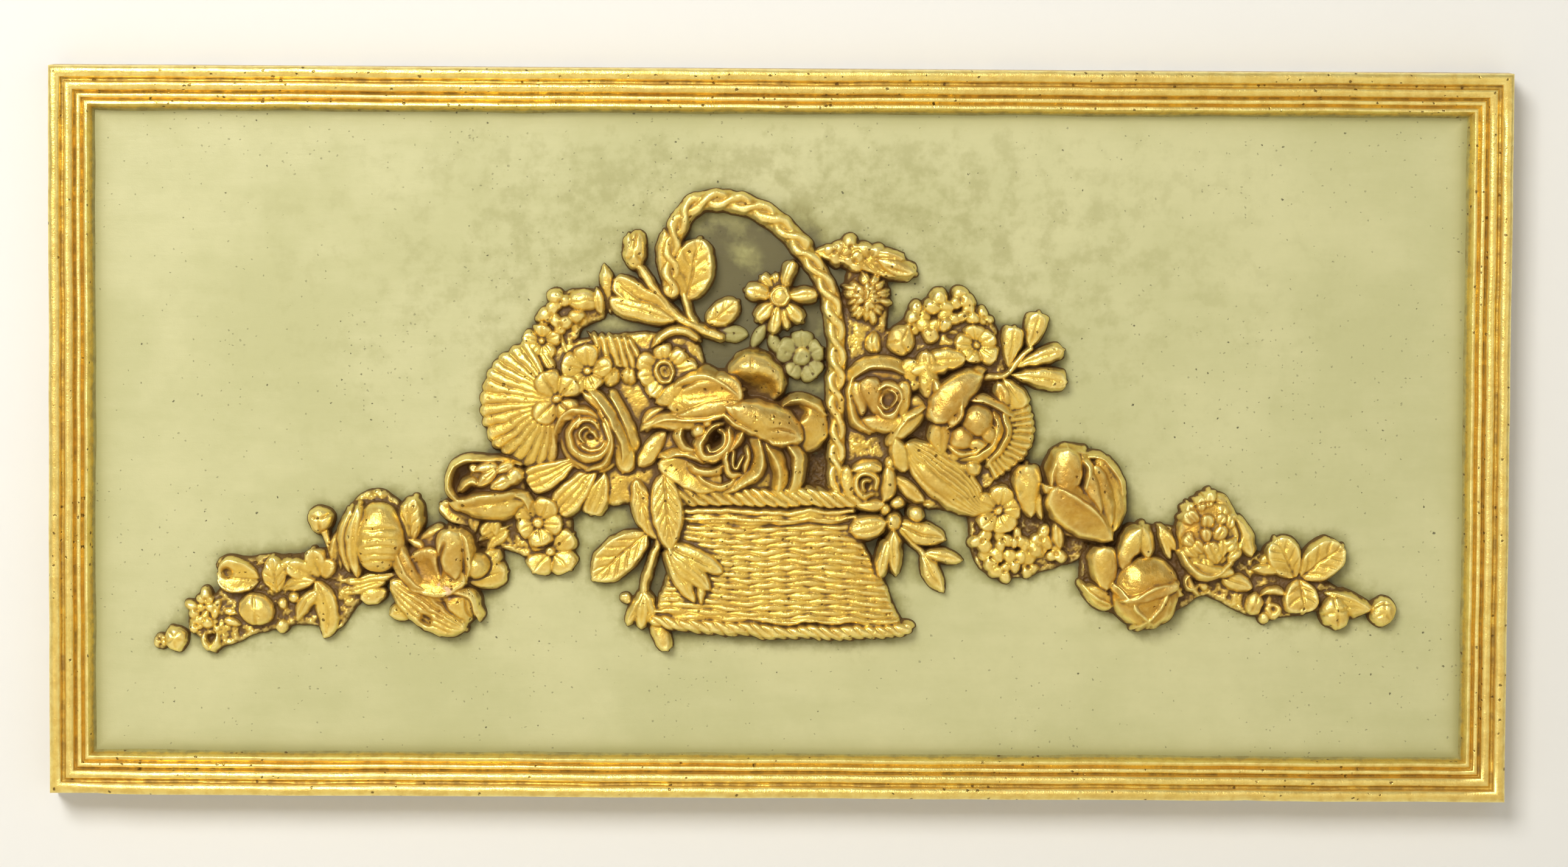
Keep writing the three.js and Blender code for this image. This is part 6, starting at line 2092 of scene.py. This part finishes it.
@dataclass(frozen=True)
class Gilding(Finish):
    """Bronze paint over bole: pale where it is rubbed, with a painted highlight on the crests, ochre between, and
    brown in the hollows as antiquing wash and painted shade.
    """

    highlight_pale: Colour = (1.0, 0.85, 0.32)
    gold: Colour = (0.88, 0.61, 0.11)
    ochre: Colour = (0.58, 0.32, 0.042)
    amber: Colour = (0.52, 0.27, 0.035)
    shade_and_dirt_brown: Colour = (0.085, 0.036, 0.006)
    plaster: Colour = (0.70, 0.47, 0.36)
    sage: Colour = (0.31, 0.30, 0.11)

    def build(self) -> bpy.types.Material:
        """Builds the material."""
        material, nodes, where = self.start()
        wash_and_shade, wear_and_highlight, paint = (nodes.mask(name) for name in ("wash_and_shade", "wear_and_highlight", "paint"))
        patches = nodes.group("patches", where, Scale=38.0, Streaks=0.3)
        small = nodes.group("patches", where, Scale=210.0, Streaks=0.0)
        specks = nodes.group("specks", where, Scale=430.0, Amount=0.3, Size=0.3)
        colour = nodes.mix(nodes.math("MULTIPLY", patches, 0.55), self.gold, self.ochre)
        colour = nodes.mix(nodes.math("MULTIPLY", small, 0.3), colour, self.ochre)
        glaze = nodes.math("MULTIPLY", nodes.mask("glaze"), nodes.step(patches, 0.0, 1.0, 0.5, 0.85))
        colour = nodes.mix(glaze, colour, self.amber)
        # Crests turn pale: rubbed gilding and a painted highlight.
        rub_and_highlight = nodes.math("MULTIPLY", wear_and_highlight, nodes.step(small, 0.0, 1.0, 1.0, 0.55))
        colour = nodes.mix(nodes.math("MINIMUM", rub_and_highlight, 1.0), colour, self.highlight_pale)
        bare = nodes.math("MULTIPLY", nodes.step(nodes.noise(where, 55.0, 4.0, 0.7), 0.69, 0.74), 0.55)
        colour = nodes.mix(bare, colour, self.plaster)
        painted = nodes.step(nodes.math("MULTIPLY_ADD", small, 0.3, paint), 0.25, 0.95, 0.0, 0.85)
        colour = nodes.mix(painted, colour, self.sage)
        # Hollows and low places turn brown, as antiquing wash and painted shade; the specks below are dirt.
        ragged = nodes.math("ADD", wash_and_shade, nodes.math("MULTIPLY", nodes.math("SUBTRACT", small, 0.5), 0.3))
        deep = nodes.step(ragged, 0.05, 0.78)
        colour = nodes.mix(nodes.math("MULTIPLY", deep, 0.94), colour, self.shade_and_dirt_brown)
        colour = nodes.mix(nodes.math("MULTIPLY", specks, 0.8), colour, self.shade_and_dirt_brown)
        dull = nodes.math("MAXIMUM", nodes.math("MAXIMUM", deep, painted), bare)
        metallic = nodes.math("MULTIPLY", nodes.math("SUBTRACT", 1.0, dull), 0.8)
        rough = nodes.math("MULTIPLY_ADD", dull, 0.24, nodes.step(patches, 0.0, 1.0, 0.3, 0.42))
        height = nodes.group("casting_grain", where)
        height = nodes.math("SUBTRACT", height, nodes.math("MULTIPLY", specks, 0.8))
        values = {"Base Color": colour, "Metallic": metallic, "Roughness": rough}
        self.end(nodes, values, height, 0.0003)
        return material


@dataclass(frozen=True)
class GreenGround(Finish):
    """Sage green paint, mottled, darkened to olive and umber round the relief and along the frame, partly as dirt and
    partly as painted shade.
    """

    light: Colour = (0.57, 0.55, 0.29)
    deep: Colour = (0.49, 0.48, 0.235)
    olive_dirt_and_shade: Colour = (0.27, 0.25, 0.075)
    umber_dirt_and_shade: Colour = (0.075, 0.058, 0.018)
    dirt: Colour = (0.05, 0.045, 0.02)

    def build(self) -> bpy.types.Material:
        """Builds the material."""
        material, nodes, where = self.start()
        dirt_and_contact_shade, rim = nodes.mask("dirt_and_contact_shade"), nodes.mask("rim")
        patches = nodes.group("patches", where, Scale=13.0, Streaks=0.22)
        small = nodes.group("patches", where, Scale=120.0, Streaks=0.15)
        specks = nodes.group("specks", where, Scale=230.0, Amount=0.16, Size=0.17)
        pits = nodes.group("specks", where, Scale=620.0, Amount=0.22, Size=0.22)
        colour = nodes.mix(patches, self.light, self.deep)
        colour = nodes.mix(nodes.math("MULTIPLY", small, 0.22), colour, self.deep)
        # Near the relief and the frame the green turns olive, then umber at the relief's foot: dirt and painted
        # shade.
        edge = nodes.math(
            "MULTIPLY_ADD", nodes.math("SUBTRACT", small, 0.5), 0.35, nodes.math("MULTIPLY", dirt_and_contact_shade, 1.85)
        )
        dirt_and_shade = nodes.math("MAXIMUM", nodes.step(edge, 0.12, 0.95, 0.0, 0.86), nodes.math("MULTIPLY", rim, 0.75))
        colour = nodes.mix(dirt_and_shade, colour, self.olive_dirt_and_shade)
        colour = nodes.mix(nodes.step(edge, 0.7, 1.35, 0.0, 0.8), colour, self.umber_dirt_and_shade)
        dots = nodes.math("MAXIMUM", specks, nodes.math("MULTIPLY", pits, 0.5))
        colour = nodes.mix(nodes.math("MULTIPLY", dots, 0.8), colour, self.dirt)
        height = nodes.group("casting_grain", where, Tooth=0.2, Lumps=0.35, Drag=0.35)
        height = nodes.math("SUBTRACT", height, dots)
        values = {"Base Color": colour, "Roughness": nodes.step(patches, 0.0, 1.0, 0.5, 0.62)}
        self.end(nodes, values, height, 0.0002)
        return material


@dataclass(frozen=True)
class BarePlaster(Finish):
    """The back's bare plaster: off-white with a little dirt."""

    light: Colour = (0.74, 0.70, 0.60)
    grey: Colour = (0.50, 0.46, 0.38)
    dirt: Colour = (0.12, 0.10, 0.07)

    def build(self) -> bpy.types.Material:
        """Builds the material."""
        material, nodes, where = self.start()
        patches = nodes.group("patches", where, Scale=11.0, Streaks=0.8)
        specks = nodes.group("specks", where, Scale=300.0, Amount=0.35, Size=0.3)
        colour = nodes.mix(nodes.math("MULTIPLY", patches, 0.7), self.light, self.grey)
        colour = nodes.mix(nodes.math("MULTIPLY", specks, 0.7), colour, self.dirt)
        height = nodes.group("casting_grain", where, Tooth=0.5, Lumps=0.9, Drag=0.6)
        height = nodes.math("SUBTRACT", height, specks)
        values = {"Base Color": colour, "Roughness": nodes.step(patches, 0.0, 1.0, 0.82, 0.94)}
        self.end(nodes, values, height, 0.0004)
        return material


# The plain studio


@dataclass
class Studio:
    """The pale floor, the wall that is open behind the plaque, the soft light and the camera."""

    floor_level: float = -0.26
    wall_place: float = 0.0015
    reach: float = 6.0
    opening: tuple[float, float] = (0.608, 0.305)
    lens: float = 60.0
    place: tuple[float, float, float] = (0.00047, -1.10084, 0.03198)
    turn: tuple[float, float, float] = (88.348, -0.343, -0.066)

    def backdrop_finish(self, name: str, colour: Colour) -> bpy.types.Material:
        """Builds a dull finish that is clear from behind, so that the back can be looked at."""
        material = bpy.data.materials.new(name)
        material.use_nodes = True
        nodes = Nodes(material.node_tree)
        dull = nodes.add("BsdfDiffuse", {"Color": (*colour, 1.0)})
        clear = nodes.add("BsdfTransparent")
        behind = nodes.add("NewGeometry").outputs["Backfacing"]
        mixed = nodes.add("MixShader", {0: behind, 1: dull.outputs[0], 2: clear.outputs[0]})
        nodes.add("OutputMaterial", {0: mixed.outputs[0]})
        return material

    def open_wall(self, wall: bpy.types.Object) -> None:
        """Opens the wall right behind the plaque, out of the camera's sight, so that its back gets light."""
        wall.scale = [(side + self.reach) / self.reach for side in self.opening] + [1]
        settle(wall)
        bpy.ops.object.mode_set(mode="EDIT")
        bpy.ops.mesh.select_all(action="SELECT")
        bpy.ops.mesh.inset(thickness=self.reach / 2, use_even_offset=True)
        bpy.ops.mesh.delete(type="FACE")
        bpy.ops.object.mode_set(mode="OBJECT")

    def build_backdrop(self) -> None:
        """Lays the floor and stands the wall."""
        planes = {
            "studio_floor": ((0, -self.reach / 2, self.floor_level), (0, 0, 0), (0.76, 0.72, 0.63)),
            "studio_wall": ((0, self.wall_place, 0), (math.pi / 2, 0, 0), (0.79, 0.785, 0.765)),
        }
        for name, (place, turn, colour) in planes.items():
            bpy.ops.object.select_all(action="DESELECT")
            bpy.ops.mesh.primitive_plane_add(size=self.reach, location=place, rotation=turn)
            plane = started(name)
            if name == "studio_wall":
                self.open_wall(plane)
            settle(plane)
            plane.data.materials.append(self.backdrop_finish(name, colour))

    def add_lamp(self, name: str, place: tuple, size: float, power: float, colour: Colour) -> None:
        """Hangs a square soft lamp that looks at the plaque.

        Args:
            name: name of the lamp.
            place: where it hangs.
            size: its width in metres.
            power: its strength in watts.
            colour: its light's colour.
        """
        lamp = bpy.data.lights.new(name, "AREA")
        lamp.size, lamp.energy, lamp.color = size, power, colour
        made = bpy.data.objects.new(name, lamp)
        made.location = place
        made.rotation_euler = (-Vector(place)).to_track_quat("-Z", "Y").to_euler()
        bpy.context.scene.collection.objects.link(made)

    def light(self) -> None:
        """Lights the plaque softly from the upper left and its back from behind, with a pale surrounding."""
        world = bpy.data.worlds.new("studio")
        world.use_nodes = True
        sky = world.node_tree.nodes["Background"]
        sky.inputs["Color"].default_value = (1.0, 0.985, 0.95, 1.0)
        sky.inputs["Strength"].default_value = 0.34
        bpy.context.scene.world = world
        self.add_lamp("key", (-0.6, -1.5, 0.85), 0.65, 25, (1.0, 0.985, 0.95))
        self.add_lamp("fill", (0.9, -1.3, 0.1), 1.2, 3, (1.0, 0.97, 0.9))
        self.add_lamp("behind", (0.7, 1.3, 0.6), 0.8, 11, (1.0, 0.985, 0.95))
        bpy.context.scene.view_settings.view_transform = "Standard"

    def add_camera(self) -> None:
        """Places the camera at the photograph's point of view."""
        lens = bpy.data.cameras.new("camera")
        lens.lens, lens.sensor_width = self.lens, 36.0
        camera = bpy.data.objects.new("camera", lens)
        camera.location = self.place
        camera.rotation_euler = Euler([math.radians(angle) for angle in self.turn])
        bpy.context.scene.collection.objects.link(camera)
        bpy.context.scene.camera = camera


STRETCHES: dict[str, Box] = {
    "relief_left_garland": (-266, -106, -96, 106),
    "relief_left_bouquet": (-106, -52, -96, 106),
    "relief_basket": (-52, 27, -96, -19),
    "relief_basket_flowers": (-52, 27, -19, 106),
    "relief_right_bouquet": (27, 106, -96, 106),
    "relief_right_garland": (106, 264, -96, 106),
}


def dress(piece: bpy.types.Object, finish: bpy.types.Material) -> None:
    """Gives a piece its finish, tells the frame what it rides on and hides the imported cast plaque.

    Args:
        piece: the piece.
        finish: its material.
    """
    piece.data.materials.clear()
    piece.data.materials.append(finish)
    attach(piece, "root")
    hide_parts("cast_plaque")
    logging.info("%s: %d points", piece.name, len(piece.data.vertices))


def main() -> None:
    """Builds the plaque's pieces in order, dresses them, and sets up the studio."""
    logging.basicConfig(level=logging.INFO, format="%(message)s")
    for build_group in (build_specks, build_grain, build_patches):
        build_group()
    gilding = Gilding("gilding", "gilding")
    green = GreenGround("green_ground", "green_ground")
    plaster = BarePlaster("bare_plaster", "bare_plaster")
    finishes = {finish.slot: finish.build() for finish in (gilding, green, plaster)}
    groups = [
        RightBouquet("right_bouquet"),
        LeftBouquet("left_bouquet"),
        BasketAndFlowers("basket_and_flowers"),
        LeftGarland("left_garland"),
        RightGarland("right_garland"),
    ]
    relief = Relief(groups, STRETCHES)
    relief.carve()
    for name in relief.stretches:
        dress(relief.build(name), finishes["gilding"])
    panel = Panel()
    dress(panel.build_frame(), finishes["gilding"])
    dress(panel.build_ground(relief), finishes["green_ground"])
    dress(panel.build_back(), finishes["bare_plaster"])
    studio = Studio()
    studio.build_backdrop()
    studio.light()
    studio.add_camera()


if __name__ == "__main__":
    main()
